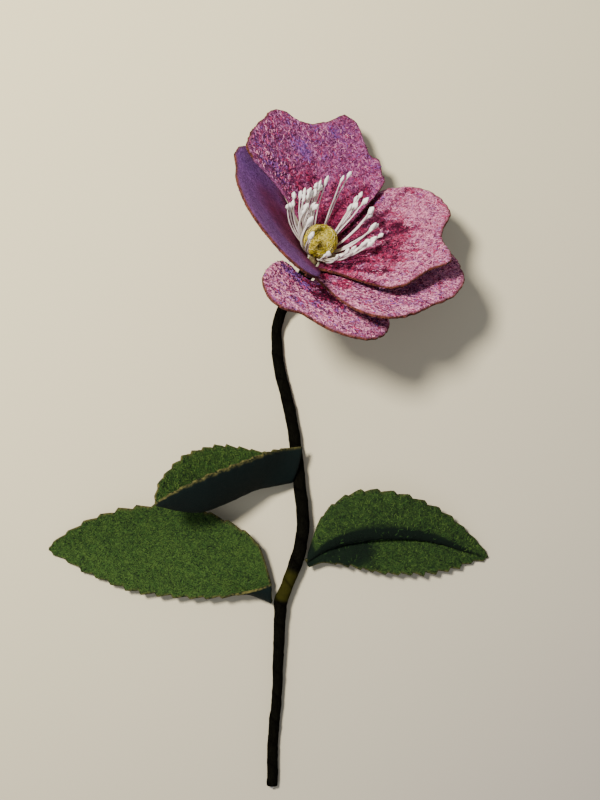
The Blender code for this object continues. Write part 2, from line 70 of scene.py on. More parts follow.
# Petals, as they are cut and layered
CLAW_STEEPNESS = math.radians(30.0)
CLAW_REACH = 8.0
CLAW_WRAP = math.radians(14.0)
CLAW_WRAP_REACH = 5.0
PETAL_CURVE_STEPS = 24
WAIST_REACH = 45.0
PETALS = {
    "petal_back": {
        "azimuth": 39.5, "opening": 63.0, "roll": -2.0, "cup": -5.0, "fan": 53.0,
        "waist": 0.55, "layer": 0, "claw": 4.3,
        "rim": (10.0, 31.0, 34.5, 37.6, 37.7, 41.2, 45.4, 46.4, 43.6, 42.0, 41.5,
                42.4, 44.9, 45.5, 44.0, 43.0, 42.2, 41.4, 40.5, 39.8, 36.0),
    },
    "petal_left": {
        "azimuth": 131.0, "opening": 52.0, "roll": -4.0, "cup": 10.0, "fan": 52.0,
        "waist": 0.0, "layer": 1, "claw": 2.2,
        "rim": (9.5, 28.0, 37.0, 39.8, 40.6, 40.9, 40.3, 40.4, 41.0, 41.6, 42.0,
                42.6, 43.0, 43.0, 43.0, 43.2, 43.0, 42.0, 39.5, 32.5, 16.0),
    },
    "petal_right": {
        "azimuth": -68.0, "opening": 53.0, "roll": 5.0, "cup": 11.0, "fan": 50.0,
        "waist": 0.0, "layer": 1, "claw": 2.2,
        "rim": (9.5, 30.5, 36.2, 37.5, 38.3, 39.8, 43.8, 43.2, 41.2, 39.6, 39.4,
                40.6, 42.6, 42.8, 42.4, 41.6, 40.2, 38.0, 34.5, 29.0, 9.5),
    },
    "petal_lower": {
        "azimuth": -106.0, "opening": 63.0, "roll": 3.0, "cup": 0.0, "fan": 50.0,
        "waist": 0.0, "layer": 2, "claw": -0.2,
        "rim": (9.0, 22.0, 32.5, 38.5, 40.8, 42.0, 42.2, 42.0, 41.9, 41.6, 42.0,
                43.3, 44.6, 45.0, 45.2, 44.2, 43.0, 41.3, 38.5, 31.0, 8.5),
    },
    "petal_front": {
        "azimuth": -158.0, "opening": 67.0, "roll": 5.0, "cup": 3.0, "fan": 56.0,
        "waist": 0.0, "layer": 3, "claw": -1.3,
        "rim": (11.0, 15.5, 20.5, 26.5, 33.0, 38.0, 41.2, 40.6, 37.4, 38.3, 39.8,
                40.5, 40.8, 40.7, 39.5, 37.5, 34.9, 31.5, 24.5, 14.0, 8.0),
    },
}

# How each petal is dyed, with painted shadow, shade and highlight among its
# violet, wine and pale.  Crimson fades out at a reach from the bloom's base,
# in streaks.  Violet and pale wool have their own strengths towards the rim.
# Fluff is how much wool stands out of the inner face, and singed is how brown
# the cut edge is down the left side.  Spots of dye, some of them painted shadow,
# shade and highlight, follow: across, reach, radius, which dye, and strength.
DYES = {
    "petal_back": {
        "crimson": 0.55, "crimson_to": 23.0, "streaks": 5, "violet": 0.18, "pale": 0.14,
        "fluff": 1.0, "singed": 0.0,
        "spots": ((0.25, 25.0, 4.0, "crimson", 0.55), (0.02, 25.5, 3.5, "crimson", 0.6),
                  (-0.55, 20.0, 6.0, "crimson", 0.5), (-0.80, 25.0, 5.0, "crimson", 0.3),
                  (-0.66, 13.0, 6.0, "crimson", 0.8), (0.10, 33.0, 3.0, "violet", 0.75),
                  (-0.24, 40.0, 2.5, "violet", 0.5), (0.37, 39.5, 3.5, "wine", 0.2),
                  (0.48, 42.0, 3.0, "wine", 0.15), (0.75, 31.0, 6.0, "violet", 0.35),
                  (-0.30, 44.0, 2.5, "wine", 0.15), (-0.66, 31.5, 4.0, "crimson", 0.3)),
    },
    "petal_left": {
        # Its strong violet is partly the felt's dye and partly painted shade over the inner face,
        # as are its two violet spots
        "crimson": 0.75, "crimson_to": 22.0, "streaks": 3, "violet": 0.85, "pale": 0.0,
        "fluff": 0.0, "singed": 1.0,
        "spots": ((-0.40, 25.0, 6.0, "wine", 0.55), (-0.19, 23.0, 7.0, "crimson", 0.7),
                  # The three pale spots are a painted highlight where the rim turns to the light
                  (0.12, 38.0, 5.5, "pale", 0.55), (0.42, 38.0, 6.5, "pale", 0.6),
                  (0.65, 33.0, 6.0, "pale", 0.5), (0.80, 24.0, 5.0, "crimson", 0.6),
                  (0.10, 18.0, 9.0, "wine", 0.45), (-0.45, 36.0, 7.0, "violet", 0.8),
                  (-0.60, 31.0, 5.0, "violet", 0.5)),
    },
    "petal_right": {
        "crimson": 0.78, "crimson_to": 27.0, "streaks": 6, "violet": 0.04, "pale": 0.95,
        "fluff": 1.0, "singed": 1.0,
        "spots": ((0.51, 24.0, 3.2, "wine", 0.7), (0.25, 27.0, 2.8, "wine", 0.7),
                  (-0.13, 25.0, 3.6, "wine", 0.8), (-0.43, 27.0, 3.0, "wine", 0.6),
                  (-0.70, 27.0, 2.4, "wine", 0.6), (-0.57, 13.0, 3.5, "violet", 0.6),
                  # The next three spots are a painted shadow that petal_back casts beside its
                  # right edge
                  (0.93, 18.0, 4.0, "wine", 0.9), (0.90, 24.0, 4.5, "wine", 0.9),
                  (0.86, 29.0, 3.5, "violet", 0.7),
                  (0.09, 29.0, 5.0, "crimson", 0.45), (-0.25, 27.0, 6.0, "crimson", 0.6),
                  (0.45, 26.0, 4.5, "crimson", 0.5)),
    },
    "petal_lower": {
        "crimson": 0.6, "crimson_to": 18.0, "streaks": 4, "violet": 0.12, "pale": 1.0,
        "fluff": 1.0, "singed": 1.0,
        "spots": ((-0.55, 19.0, 4.0, "crimson", 0.75), (0.20, 35.0, 5.0, "violet", 0.3),
                  (-0.15, 35.0, 6.0, "violet", 0.2)),
    },
    "petal_front": {
        "crimson": 0.2, "crimson_to": 16.0, "streaks": 3, "violet": 0.16, "pale": 0.95,
        "fluff": 1.0, "singed": 1.0,
        # The first four spots, violet and wine near the claw, are a painted shadow under
        # petal_left's rim
        "spots": ((-0.10, 12.0, 7.0, "violet", 1.0), (0.10, 13.0, 6.0, "wine", 1.0),
                  (-0.40, 13.0, 5.0, "violet", 0.6), (0.15, 20.0, 6.0, "wine", 0.8),
                  (0.11, 26.0, 4.5, "violet", 0.25), (0.35, 24.0, 5.0, "violet", 0.2)),
    },
}
PETAL_COLUMNS = 100
PETAL_ROWS = 54
PETAL_CROWDING = 1.25
PETAL_SEED = 100
# A rim is ragged by this much, in waves this long, and about this long in all
RIM_RAGGED = 0.16
RIM_WAVE = 2.2
RIM_LENGTH = 90.0
# Millimetres over which the felt thins towards a petal's rim, how far its cut
# edge bulges, and how lumpy its faces are
PETAL_THINNING_WIDTH = 2.5
PETAL_EDGE_BULGE = 0.2
PETAL_RELIEF = 0.035
# Singed brown on the inner and outer face, how far in from the rim, and where
# across a petal its left side lies
PETAL_SINGED = (0.6, 0.9)
PETAL_SINGED_WIDTH = 0.4
LEFT_SIDE = 0.99
# How fast a petal widens with its reach, and the least reach that counts
PETAL_WIDENING = 0.75
LEAST_REACH = 4.0
# Crimson starts to fade this far before its limit, which streaks move by this
# share of it, and ends this far past it.  Mottling comes in lumps this large.
CRIMSON_FADE = (6.0, 5.0)
STREAK_SWING = 0.25
STREAK_SPREAD = 22.0
MOTTLE_SIZE = 7.0
# Dye that soaks through to the outer face
DYE_OUTSIDE = 0.4
# Wool curls stand up to this far off the inner and outer face.  The outer has
# one for so many of the inner, none grows this near the rim or the claw, and
# neighbours share a dye in patches this large.
PETAL_CURL_RISE = (0.42, 0.2)
OUTER_CURL_SHARE = 6
PETAL_CURL_MARGIN = 0.35
PETAL_CURL_FROM = 6.0
DYE_PATCH = 5.0
PETAL_WOOLS = ("pale", "lavender", "mauve", "plum", "rose", "crimson", "wine", "violet", "indigo")

# Ball at the heart of the bloom
BALL_RADIUS = 4.1
BALL_HEIGHT = 10.8
BALL_ASIDE = 1.5
BALL_ASIDE_AZIMUTH = math.radians(155.0)
BALL_RELIEF = 0.18
BALL_WAVES = 8.5
BALL_TURNS = (2.0, 0.0, 1.0)
BALL_SEGMENTS = 72
BALL_RINGS = 44
BALL_SWELL = 0.15
BALL_ROUGH = 0.07
BALL_SEED = 51
# Wool round the ball: where it lies above the ball's radius, how far it
# stands up, its stations, and how much there is of each tint
BALL_CURL_HEIGHT = 0.25
BALL_FUZZ = 0.5
BALL_CURL_STATIONS = 7
BALL_WOOLS = ("light", "middle", "dark")
BALL_TINTS = (1.0, 1.0, 0.45)

# Stamens, in tufts: azimuth and its spread, lean, reach, and how many
STAMEN_TUFTS = (
    (108.0, 8.0, 43.0, 20.0, 5),
    (100.0, 8.0, 34.0, 20.8, 4),
    (90.0, 8.0, 28.5, 20.3, 4),
    (72.0, 9.0, 25.0, 21.5, 5),
    (54.0, 2.0, 23.0, 22.0, 1),
    (106.0, 8.0, 22.5, 19.0, 2),
    (120.0, 8.0, 30.0, 19.5, 3),
    (20.0, 4.0, 36.0, 23.5, 2),
    (146.0, 7.0, 29.0, 18.5, 3),
    (164.0, 7.0, 38.0, 17.5, 3),
    (-14.0, 4.0, 39.0, 22.3, 2),
    (-22.0, 8.0, 21.0, 19.8, 3),
    (-20.0, 6.0, 13.0, 18.0, 2),
    (-50.0, 8.0, 30.0, 20.8, 3),
    (-71.0, 8.0, 34.0, 19.5, 3),
    (-88.0, 6.0, 41.0, 20.0, 3),
    (-108.0, 8.0, 37.0, 19.5, 4),
    (-132.0, 8.0, 38.0, 18.0, 4),
    (-152.0, 6.0, 44.0, 17.5, 3),
    (-164.0, 4.0, 48.0, 15.5, 1),
)
STAMEN_AZIMUTH_DRIFT = 2.5
STAMEN_LEAN_DRIFT = 2.5
STAMEN_REACH_DRIFT = 1.2
STAMEN_BEND = 6.0
STAMEN_SEED = 7
STAMEN_ROOT_OUT = 2.12
STAMEN_ROOT_HEIGHT = 5.55
STAMEN_KNEE = (0.74, 0.30)
STAMEN_KNEE_STEP = 0.25
STAMEN_CLEAR_OF_BALL = 4.9
STAMEN_CHECKS = 24
THREAD_STATIONS = 16
THREAD_SIDES = 8
THREAD_WAVE = 7.0
THREAD_WANDER = 0.12
# How much a thread swells and thins, as a share of its radius, how often, and
# what darkens it where its strands twist inward
THREAD_UNEVEN = 0.15
THREAD_SWELLS = 9.0
THREAD_SHADE = (0.78, 0.76, 0.76)
# The dip starts and ends at these head lengths from the tip, and the stain at
# the foot fades between these shares of the thread
DIP_RANGE = (1.25, 0.85)
STAIN_RANGE = (0.05, 0.5)
# Along a head: share of its length from the thread, and share of its radius
HEAD_OUTLINE = ((0.0, 0.3), (0.12, 0.42), (0.28, 0.75), (0.46, 1.0), (0.64, 0.98), (0.8, 0.7),
                (0.92, 0.42), (1.0, 0.12))
HEAD_SIZES = (0.65, 1.1)
HEAD_LUMPS = (0.24, 0.2)
HEAD_TWIST = 9.0
HEAD_LEAST_RADIUS = 0.05
# The thread that binds them: its radius, the radius that it is wound at, the
# height that it starts from and how far it climbs, and in how many turns
BINDING_RADIUS = 0.17
BINDING_OUT = 2.24
BINDING_FROM = 5.32
BINDING_RISE = 0.46
BINDING_TURNS = 3.2
BINDING_STATIONS = 90

# Stem: points down its middle, each with the wrap's radius
STEM_ROUTE = (
    (5.1, 42.5, 22.5, 1.5),
    (3.2, 39.3, 18.4, 1.5),
    (2.2, 37.6, 16.2, 2.2),
    (1.6, 36.6, 14.9, 2.3),
    (0.2, 34.5, 12.3, 1.8),
    (-2.6, 31.0, 8.6, 1.65),
    (-5.4, 27.0, 5.2, 1.65),
    (-6.9, 22.5, 2.9, 1.65),
    (-7.1, 18.0, 1.8, 1.7),
    (-6.3, 9.7, 1.85, 1.8),
    (-4.0, 0.5, 2.1, 1.85),
    (-2.0, -9.4, 2.6, 1.85),
    (-0.9, -18.0, 3.2, 1.9),
    (-0.2, -25.0, 3.8, 1.95),
    (0.9, -36.0, 4.4, 2.0),
    (0.3, -43.0, 4.4, 2.0),
    (-1.2, -49.0, 4.2, 2.2),
    (-3.9, -56.0, 4.0, 1.9),
    (-5.7, -60.5, 3.9, 2.15),
    (-6.0, -65.0, 3.7, 1.9),
    (-6.6, -78.5, 3.0, 1.7),
    (-7.0, -89.5, 2.4, 1.6),
    (-8.2, -102.5, 1.9, 1.7),
    (-8.5, -117.0, 1.75, 1.7),
)
WIRE_COLOURS = ((0.36, 0.35, 0.34), (0.56, 0.55, 0.53))
# The wrap's bore has one ring of points for so many of the outside
WRAP_BORE = 0.85
WRAP_STATIONS = 620
WRAP_SIDES = 28
BORE_EVERY = 10
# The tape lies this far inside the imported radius, laps over the turn before
# it for this share of a turn, and its turns drift by this share, in waves
TAPE_SINK = 0.1
TAPE_LAP = 0.85
TAPE_DRIFT = 0.08
TAPE_DRIFT_WAVE = 9.0
# Roughness of the tape: height and length of its waves, each with its seed,
# and the radius at which they go round it
TAPE_ROUGH = ((0.04, 1.5, 71), (0.06, 6.0, 72))
TAPE_WAVE_RADIUS = 2.0
# From the middle of the tape to its lap, which is shaded between these shares
LAP_SHADE = (0.40, 0.5)
# A painted highlight makes the tape a lighter olive between these places along Y,
# which starts and ends softly over these lengths.  Its bound stretch fades
# between these lengths from the top.
STEM_HIGHLIGHT_STRETCH = (-59.5, -53.0)
STEM_HIGHLIGHT_SOFT = (1.5, 2.5)
BOUND_FADE = (3.5, 4.5)

# Leaves: the fold line and the two cut edges of each, its teeth, and its spots of painted shade
# and shadow
LEAVES = {
    "leaf_upper": {
        "fold": ((-2.4, -24.4, 5.0), (-8.5, -25.4, 8.0), (-13.5, -26.4, 10.5),
                 (-22.0, -30.0, 15.5), (-30.0, -32.0, 20.5), (-41.0, -29.5, 27.0)),
        "edges": (
            ((0.5, -14.0, 7.8), (-4.5, -14.5, 12.0), (-9.5, -15.5, 18.0),
             (-18.0, -18.5, 24.5), (-26.0, -21.5, 29.0), (-33.5, -25.0, 30.5),
             (-38.0, -27.5, 29.5), (-41.0, -29.5, 27.0)),
            ((-3.4, -16.5, 4.0), (-10.0, -16.0, 6.5), (-18.0, -14.5, 9.0),
             (-25.0, -14.0, 12.0), (-31.0, -15.5, 16.0), (-34.5, -17.5, 19.0),
             (-38.0, -21.0, 22.0), (-40.0, -24.0, 24.5), (-41.0, -29.5, 27.0)),
        ),
        "arch": (0.06, 0.06), "crown": (1.0, 1.0), "teeth": 12, "tooth_depth": 0.8,
        "painted_shades": (),
    },
    "leaf_left": {
        "fold": ((-8.5, -61.0, 4.2), (-16.5, -57.5, 3.6), (-22.5, -54.0, 3.0),
                 (-30.5, -50.5, 2.4), (-45.5, -46.5, 1.6), (-61.0, -44.5, 1.1),
                 (-77.0, -45.5, 0.75)),
        "edges": (
            ((-8.5, -55.0, 8.4), (-12.5, -56.5, 8.6), (-16.5, -57.5, 8.2),
             (-22.0, -58.5, 7.0), (-30.0, -59.0, 6.0), (-39.0, -58.5, 5.4),
             (-50.5, -57.0, 4.4), (-62.0, -53.0, 2.8), (-71.0, -48.5, 1.5),
             (-77.0, -45.5, 0.75)),
            ((-9.0, -55.0, 5.0), (-11.0, -47.5, 6.0), (-14.5, -41.5, 6.6),
             (-22.5, -36.5, 6.8), (-33.0, -32.5, 6.5), (-47.0, -32.5, 5.6),
             (-60.5, -35.5, 4.0), (-70.5, -40.5, 2.2), (-77.0, -45.5, 0.75)),
        ),
        "arch": (0.06, 0.06), "crown": (1.0, 1.0), "teeth": 13, "tooth_depth": 1.0,
        "painted_shades": (),
    },
    "leaf_right": {
        "fold": ((1.7, -48.5, 4.4), (9.0, -44.0, 3.6), (20.5, -41.5, 2.6),
                 (34.0, -41.5, 1.9), (42.5, -43.0, 1.4), (50.0, -45.5, 1.0),
                 (57.5, -48.0, 0.75)),
        "edges": (
            ((3.05, -45.0, 4.8), (5.6, -37.0, 7.0), (10.5, -31.0, 8.0),
             (18.5, -27.5, 8.0), (30.0, -28.5, 7.0), (42.0, -33.5, 5.0),
             (52.0, -41.5, 2.4), (57.5, -48.0, 0.75)),
            ((2.7, -50.5, 4.4), (7.0, -49.0, 4.8), (14.5, -49.5, 5.2),
             (24.0, -51.5, 5.4), (34.0, -52.0, 5.0), (44.0, -51.0, 3.8),
             (51.5, -49.0, 2.0), (57.5, -48.0, 0.75)),
        ),
        "arch": (-0.26, 0.04), "crown": (0.5, 1.0), "teeth": 13, "tooth_depth": 1.1,
        # Painted shade and shadow: a dark band beside the fold, a wedge of cast shadow on the
        # lower half near the stem, a broad darkening over the leaf, and dark shade where the stalk
        # meets the stem
        "painted_shades": ((-0.16, 0.4, 0.24, 0.6, 1.0), (0.4, 0.08, 0.85, 0.34, 0.95),
                  (-0.3, 0.5, 3.0, 3.0, 0.3), (0.0, 0.0, 2.0, 0.06, 1.0)),
    },
}
# Rows of points cross a leaf at these shares of its length and of each tooth
LEAF_BASE_ROWS = (0.0, 0.015, 0.03, 0.045, 0.06, 0.075)
TEETH_SPAN = (0.09, 0.98)
TOOTH_STEPS = (0.0, 0.2, 0.4, 0.6, 0.8, 0.9)
TOOTH_PEAK = 0.8
FIRST_TOOTH = 0.5
LAST_TEETH_FROM = 0.85
LAST_TOOTH = 0.7
LEAF_END = 0.992
LEAF_COLUMNS_PER_HALF = 16
LEAF_SEED = 300
# How unevenly the teeth are cut, in waves this long, and from which share of
# a half's width they draw the felt outward
TOOTH_UNEVEN = 0.3
TOOTH_WAVE = 11.0
TOOTH_DRAW_FROM = 0.55
LEAF_THINNING_WIDTH = 2.0
LEAF_EDGE_BULGE = 0.1
LEAF_RELIEF = 0.03
# Olive brown on the upper and lower face, and how far in from the rim
LEAF_EDGED = (0.45, 0.8)
LEAF_EDGED_WIDTH = 0.35
# A spot of painted shade is darkest up to this share of its size, and ends at the second
PAINTED_SHADE_FADE = (0.75, 1.1)
LEAF_CURL_RISE = 0.2
LEAF_CURL_MARGIN = 0.3
LEAF_CURL_FROM_ROW = 5
GREEN_PATCH = 9.0
LEAF_WOOLS = ("light", "green", "dark")

# Felt sheets: room left under the wool, how much thinner the rim is pressed,
# and from where the singed brown fades inward
FELT_ROOM = 0.1
RIM_THINNING = 0.35
RIM_BROWN_FROM = 0.02
# How sharply its strands show, and the size of the lower ones beside the upper
STRAND_SHARPNESS = 9.0
LOWER_STRANDS = 0.7
# Lengths of the fine and coarse lumps of a felt face, and of the ragged cut
FELT_LUMPS = (1.1, 3.0)
CUT_RAGGED = 0.9
CUT_WAVE = 0.9
# Rows of points across a cut edge, from its upper face to its lower one, and
# the samples that measure a curve's length
EDGE_STRIPS = (0.2, 0.4, 0.6, 0.8)
EDGE_SAMPLES = 200

# The first ring of a tube starts from a direction across this one
RING_START = (0.31, 0.77, 0.55)

# Wool curls: the least and most of their length, bend in radians, rise and
# thickness; how deep their ends dip and how thin these are, as shares of the
# radius; and the grain that they turn from
CURL_LENGTHS = (0.6, 1.35)
CURL_BENDS = (0.6, 2.8)
CURL_RISES = (0.15, 1.0)
CURL_THICKNESSES = (0.75, 1.25)
CURL_DIP = 0.6
CURL_END = 0.35
CURL_TAPER = 0.6
CURL_SIDES = 3
CURL_STATIONS = 5
WOOL_GRAIN = (0.3, 0.5, 0.8)

# Smooth noise: how many waves it adds up, how long the shortest and longest
# are, and what brings their sum to about 1
WAVE_COUNT = 7
WAVE_LENGTHS = (0.7, 1.5)
WAVE_SUM = 3.2

# Camera: straight above the middle of the picture, at the photograph's angle
CAMERA_PLACE = (FLOWER_SHIFT[0], FLOWER_SHIFT[1], 368.4)
CAMERA_LENS = 54.3

# Floor: its width in metres, and how much painted shade darkens it for each metre along X and Y
FLOOR_WIDTH = 4.0
FLOOR_SHADE_SLOPE = (2.2, -2.2, 0.0)

# Lights, in metres, and the colours of their light and of the room's
KEY_PLACE = (-0.17, 0.17, 0.52)
KEY_AIM = (0.0, 0.04, 0.0)
KEY_COLOUR = (1.0, 0.94, 0.84)
FILL_PLACE = (-0.35, -0.35, 0.9)
FILL_SIZE = 0.9
FILL_COLOUR = (0.86, 0.9, 1.0)
ROOM_COLOUR = (0.90, 0.92, 1.0)


def srgb(red, green, blue):
    """A scene colour from the numbers 0 to 255 of a display colour."""
    return tuple(c / 12.92 if c <= 0.04045 else ((c + 0.055) / 1.055) ** 2.4
                 for c in (red / 255, green / 255, blue / 255))


def colour_property(name, description, default):
    return FloatVectorProperty(name=name, description=description, subtype="COLOR",
                               default=default, min=0.0, max=1.0)


def length_property(name, description, millimetres):
    return FloatProperty(name=name, description=description, default=millimetres * MM,
                         min=0.0, unit="LENGTH", subtype="DISTANCE")


# Settings that a user would change

class PetalSettings(bpy.types.PropertyGroup):
    pale: colour_property("Pale pink", "Brightest wool of the petals", srgb(238, 158, 188))
    lavender: colour_property("Lavender", "Cool wool of the petals", srgb(186, 118, 166))
    mauve: colour_property("Mauve", "Middle wool of the petals", srgb(168, 66, 108))
    plum: colour_property("Plum", "Gaps between the curls", srgb(92, 30, 74))
    rose: colour_property("Rose", "Bright wool of the crimson patches", srgb(200, 84, 128))
    crimson: colour_property("Crimson", "Dye round the claws", srgb(164, 36, 82))
    # Wine, violet and indigo also colour painted shadow and shade on the petals, and pale a
    # painted highlight
    wine: colour_property("Wine", "Darkest streaks of the dye", srgb(68, 6, 40))
    violet: colour_property("Violet", "Dye of the violet patches", srgb(142, 92, 176))
    indigo: colour_property("Indigo", "Gaps in the violet patches", srgb(84, 44, 106))
    cut_edge: colour_property("Cut edge", "Singed brown of the cut edge", srgb(122, 66, 48))
    burnt_edge: colour_property("Burnt edge", "Darkest part of the edge", srgb(34, 6, 10))
    curls: IntProperty(name="Curls", description="Wool curls on a petal's inner face",
                       default=3800, min=0, max=5000)
    curl_length: length_property("Curl length", "Length of a wool curl", 1.45)
    curl_radius: length_property("Curl radius", "Half of a curl's thickness", 0.105)


class LeafSettings(bpy.types.PropertyGroup):
    light: colour_property("Light green", "Brightest wool of the leaves", srgb(76, 102, 42))
    green: colour_property("Green", "Middle wool of the leaves", srgb(44, 76, 30))
    # Dark green is also the colour of the leaves' painted shade and shadow
    dark: colour_property("Dark green", "Gaps between the curls", srgb(3, 17, 8))
    # The underside's dark teal is made near black with painted shade
    under: colour_property("Underside", "Dark teal of the underside", srgb(4, 18, 18))
    cut_edge: colour_property("Cut edge", "Olive brown of the cut edge", srgb(92, 88, 46))
    curls: IntProperty(name="Curls", description="Wool curls on a leaf's upper face",
                       default=2000, min=0, max=5000)
    curl_length: length_property("Curl length", "Length of a wool curl", 1.3)
    curl_radius: length_property("Curl radius", "Half of a curl's thickness", 0.09)


class BallSettings(bpy.types.PropertyGroup):
    light: colour_property("Yellow", "Brightest wool of the ball", srgb(214, 200, 116))
    middle: colour_property("Yellow green", "Middle wool of the ball", srgb(196, 178, 40))
    dark: colour_property("Olive", "Gaps between the curls", srgb(118, 100, 34))
    curls: IntProperty(name="Curls", description="Wool curls round the ball",
                       default=1500, min=0, max=4000)
    curl_length: length_property("Curl length", "Length of a wool curl", 2.4)
    curl_radius: length_property("Curl radius", "Half of a curl's thickness", 0.09)


class StamenSettings(bpy.types.PropertyGroup):
    thread: colour_property("Thread", "Stiffened white thread", srgb(232, 224, 222))
    root: colour_property("Thread root", "Glue-stained foot of the thread", srgb(196, 178, 128))
    head: colour_property("Dipped head", "White of the dipped heads", srgb(250, 250, 244))
    thread_radius: length_property("Thread radius", "Half of a thread's thickness", 0.19)
    head_radius: length_property("Head radius", "Half of a head's thickness", 0.62)
    head_length: length_property("Head length", "Length of a dipped head", 2.8)


class StemSettings(bpy.types.PropertyGroup):
    tape: colour_property("Tape", "Dark fabric tape", srgb(17, 17, 12))
    shade: colour_property("Tape shade", "Tape in its folds", srgb(3, 2, 2))
    # A painted highlight: the lighter olive of one stretch above the cut end
    olive_highlight: colour_property("Olive tape", "Lighter stretch above the cut end", srgb(46, 45, 14))
    binding: colour_property("Binding", "Pale thread at the stem's top", srgb(196, 178, 128))
    tape_pitch: length_property("Tape pitch", "How far a turn of the tape advances", 7.0)
    tape_step: length_property("Tape step", "How far a turn stands over the next", 0.09)


class StageSettings(bpy.types.PropertyGroup):
    floor: colour_property("Floor", "Pale surface that the flower lies on", srgb(220, 211, 172))
    # Painted shade: the floor turns to this colour towards its lower right, where less light falls
    floor_painted_shade: colour_property("Far floor", "The surface towards its lower right",
                               srgb(164, 158, 148))
    key_power: FloatProperty(name="Key light", description="Power of the soft key light",
                             default=6.9, min=0.0, unit="POWER")
    key_size: FloatProperty(name="Key size", description="Width of the soft key light",
                            default=0.10, min=0.01, unit="LENGTH")
    fill_power: FloatProperty(name="Fill light", description="Power of the soft fill light",
                              default=1.2, min=0.0, unit="POWER")
    sky: FloatProperty(name="Room light", description="Strength of the light all round",
                       default=0.42, min=0.0)


SETTINGS = {
    "rose_petals": PetalSettings,
    "rose_leaves": LeafSettings,
    "rose_ball": BallSettings,
    "rose_stamens": StamenSettings,
    "rose_stem": StemSettings,
    "rose_stage": StageSettings,
}


# Materials

class Value:
    """A socket of a material's nodes.  Arithmetic on it adds Math nodes."""

    def __init__(self, finish, socket):
        self.finish = finish
        self.socket = socket

    def __add__(self, other):
        return self.finish.math("ADD", self, other)

    def __sub__(self, other):
        return self.finish.math("SUBTRACT", self, other)

    def __mul__(self, other):
        return self.finish.math("MULTIPLY", self, other)

    def __radd__(self, other):
        return self.finish.math("ADD", other, self)

    def __rsub__(self, other):
        return self.finish.math("SUBTRACT", other, self)

    def __rmul__(self, other):
        return self.finish.math("MULTIPLY", other, self)

    def __abs__(self):
        return self.finish.math("ABSOLUTE", self)


class Finish:
    """A material that is being put together, node by node."""

    def __init__(self, name):
        self.material = bpy.data.materials.new(name)
        self.material.use_nodes = True
        self.tree = self.material.node_tree
        self.shader = self.tree.nodes["Principled BSDF"]
        self.place = self.node("ShaderNodeTexCoord", {}, {}, "Object")

    def node(self, kind, settings, sockets, output=0):
        """Add a node: its settings come first, then its sockets' values or links."""
        node = self.tree.nodes.new(kind)
        for name, value in settings.items():
            setattr(node, name, value)
        for name, value in sockets.items():
            self.feed(node.inputs[name], value)
        return Value(self, node.outputs[output])

    def feed(self, socket, value):
        if isinstance(value, Value):
            self.tree.links.new(value.socket, socket)
        elif socket.type == "RGBA":
            socket.default_value = (*value, 1.0)
        else:
            socket.default_value = value

    def math(self, operation, *values, clamp=False):
        settings = {"operation": operation, "use_clamp": clamp}
        return self.node("ShaderNodeMath", settings, dict(enumerate(values)))

    def clamp(self, value):
        return self.math("ADD", value, 0.0, clamp=True)

    def mask(self, name):
        """A value that the mesh holds at each of its points."""
        return self.node("ShaderNodeAttribute", {"attribute_name": name}, {}, "Fac")

    def noise(self, size_mm, detail=2.0, distortion=0.0, shift=0.0):
        """Noise from 0 to 1 whose lumps are about this large."""
        place = self.place
        if shift:
            place = self.node("ShaderNodeVectorMath", {"operation": "ADD"},
                              {0: place, 1: (shift, 2 * shift, -shift)})
        sockets = {"Vector": place, "Scale": 1.0 / (size_mm * MM), "Detail": detail,
                   "Distortion": distortion}
        return self.node("ShaderNodeTexNoise", {}, sockets, "Fac")

    def strands(self, size_mm, sharpness, shift=0.0):
        """Curly bright lines, as of wool pressed flat."""
        wool = self.noise(size_mm, detail=1.0, distortion=1.6, shift=shift)
        return self.clamp(1.0 - abs(wool - 0.5) * sharpness)

    def mix(self, factor, first, second, blend="MIX"):
        """A colour between two colours, or one blended over the other."""
        return self.node("ShaderNodeMix", {"data_type": "RGBA", "blend_type": blend},
                         {0: factor, 6: first, 7: second}, 2)

    def bump(self, height, depth_mm, strength=1.0):
        sockets = {"Height": height, "Distance": depth_mm * MM, "Strength": strength}
        return self.node("ShaderNodeBump", {}, sockets, "Normal")

    def surface(self, **sockets):
        """Set the shader's sockets, named with _ for each space."""
        for name, value in sockets.items():
            self.feed(self.shader.inputs[name.replace("_", " ")], value)
        return self.material


def felt_finish(name, light, dark, edge, wool_size, depth_mm):
    """Pressed wool: curly strands over dark gaps, with a cut edge.

    light, dark and edge are functions that take the finish and give a colour."""
    felt = Finish(name)
    over = felt.strands(wool_size, STRAND_SHARPNESS)
    below = felt.strands(wool_size * LOWER_STRANDS, STRAND_SHARPNESS, shift=0.017)
    wool = felt.clamp(over * 0.8 + below * 0.35)
    colour = felt.mix(wool, dark(felt), light(felt))
    rim = felt.clamp(felt.mask("edge") * (0.7 + felt.noise(0.6) * 0.6))
    colour = felt.mix(rim, colour, edge(felt))
    height = wool + felt.noise(0.25, detail=1.0) * 0.5
    return felt.surface(
        Base_Color=colour,
        Roughness=0.95 - wool * 0.12,
        Normal=felt.bump(height, depth_mm),
        Specular_IOR_Level=0.15,
    )


def wool_tints(piece, settings, names):
    """A finish for each tint of a piece's wool curls, slightly uneven along them."""
    tints = []
    for name in names:
        wool = Finish(f"{piece}_wool_{name}")
        colour = getattr(settings, name)
        dull = tuple(0.7 * c for c in colour)
        bright = tuple(min(1.0, 1.1 * c) for c in colour)
        shade = wool.mix(wool.noise(0.6, detail=1.0), dull, bright)
        tints.append(wool.surface(Base_Color=shade, Roughness=0.85, Specular_IOR_Level=0.2))
    return tints


# Meshes

def smooth_step(value, low, high):
    share = np.clip((value - low) / (high - low), 0.0, 1.0)
    return share * share * (3 - 2 * share)


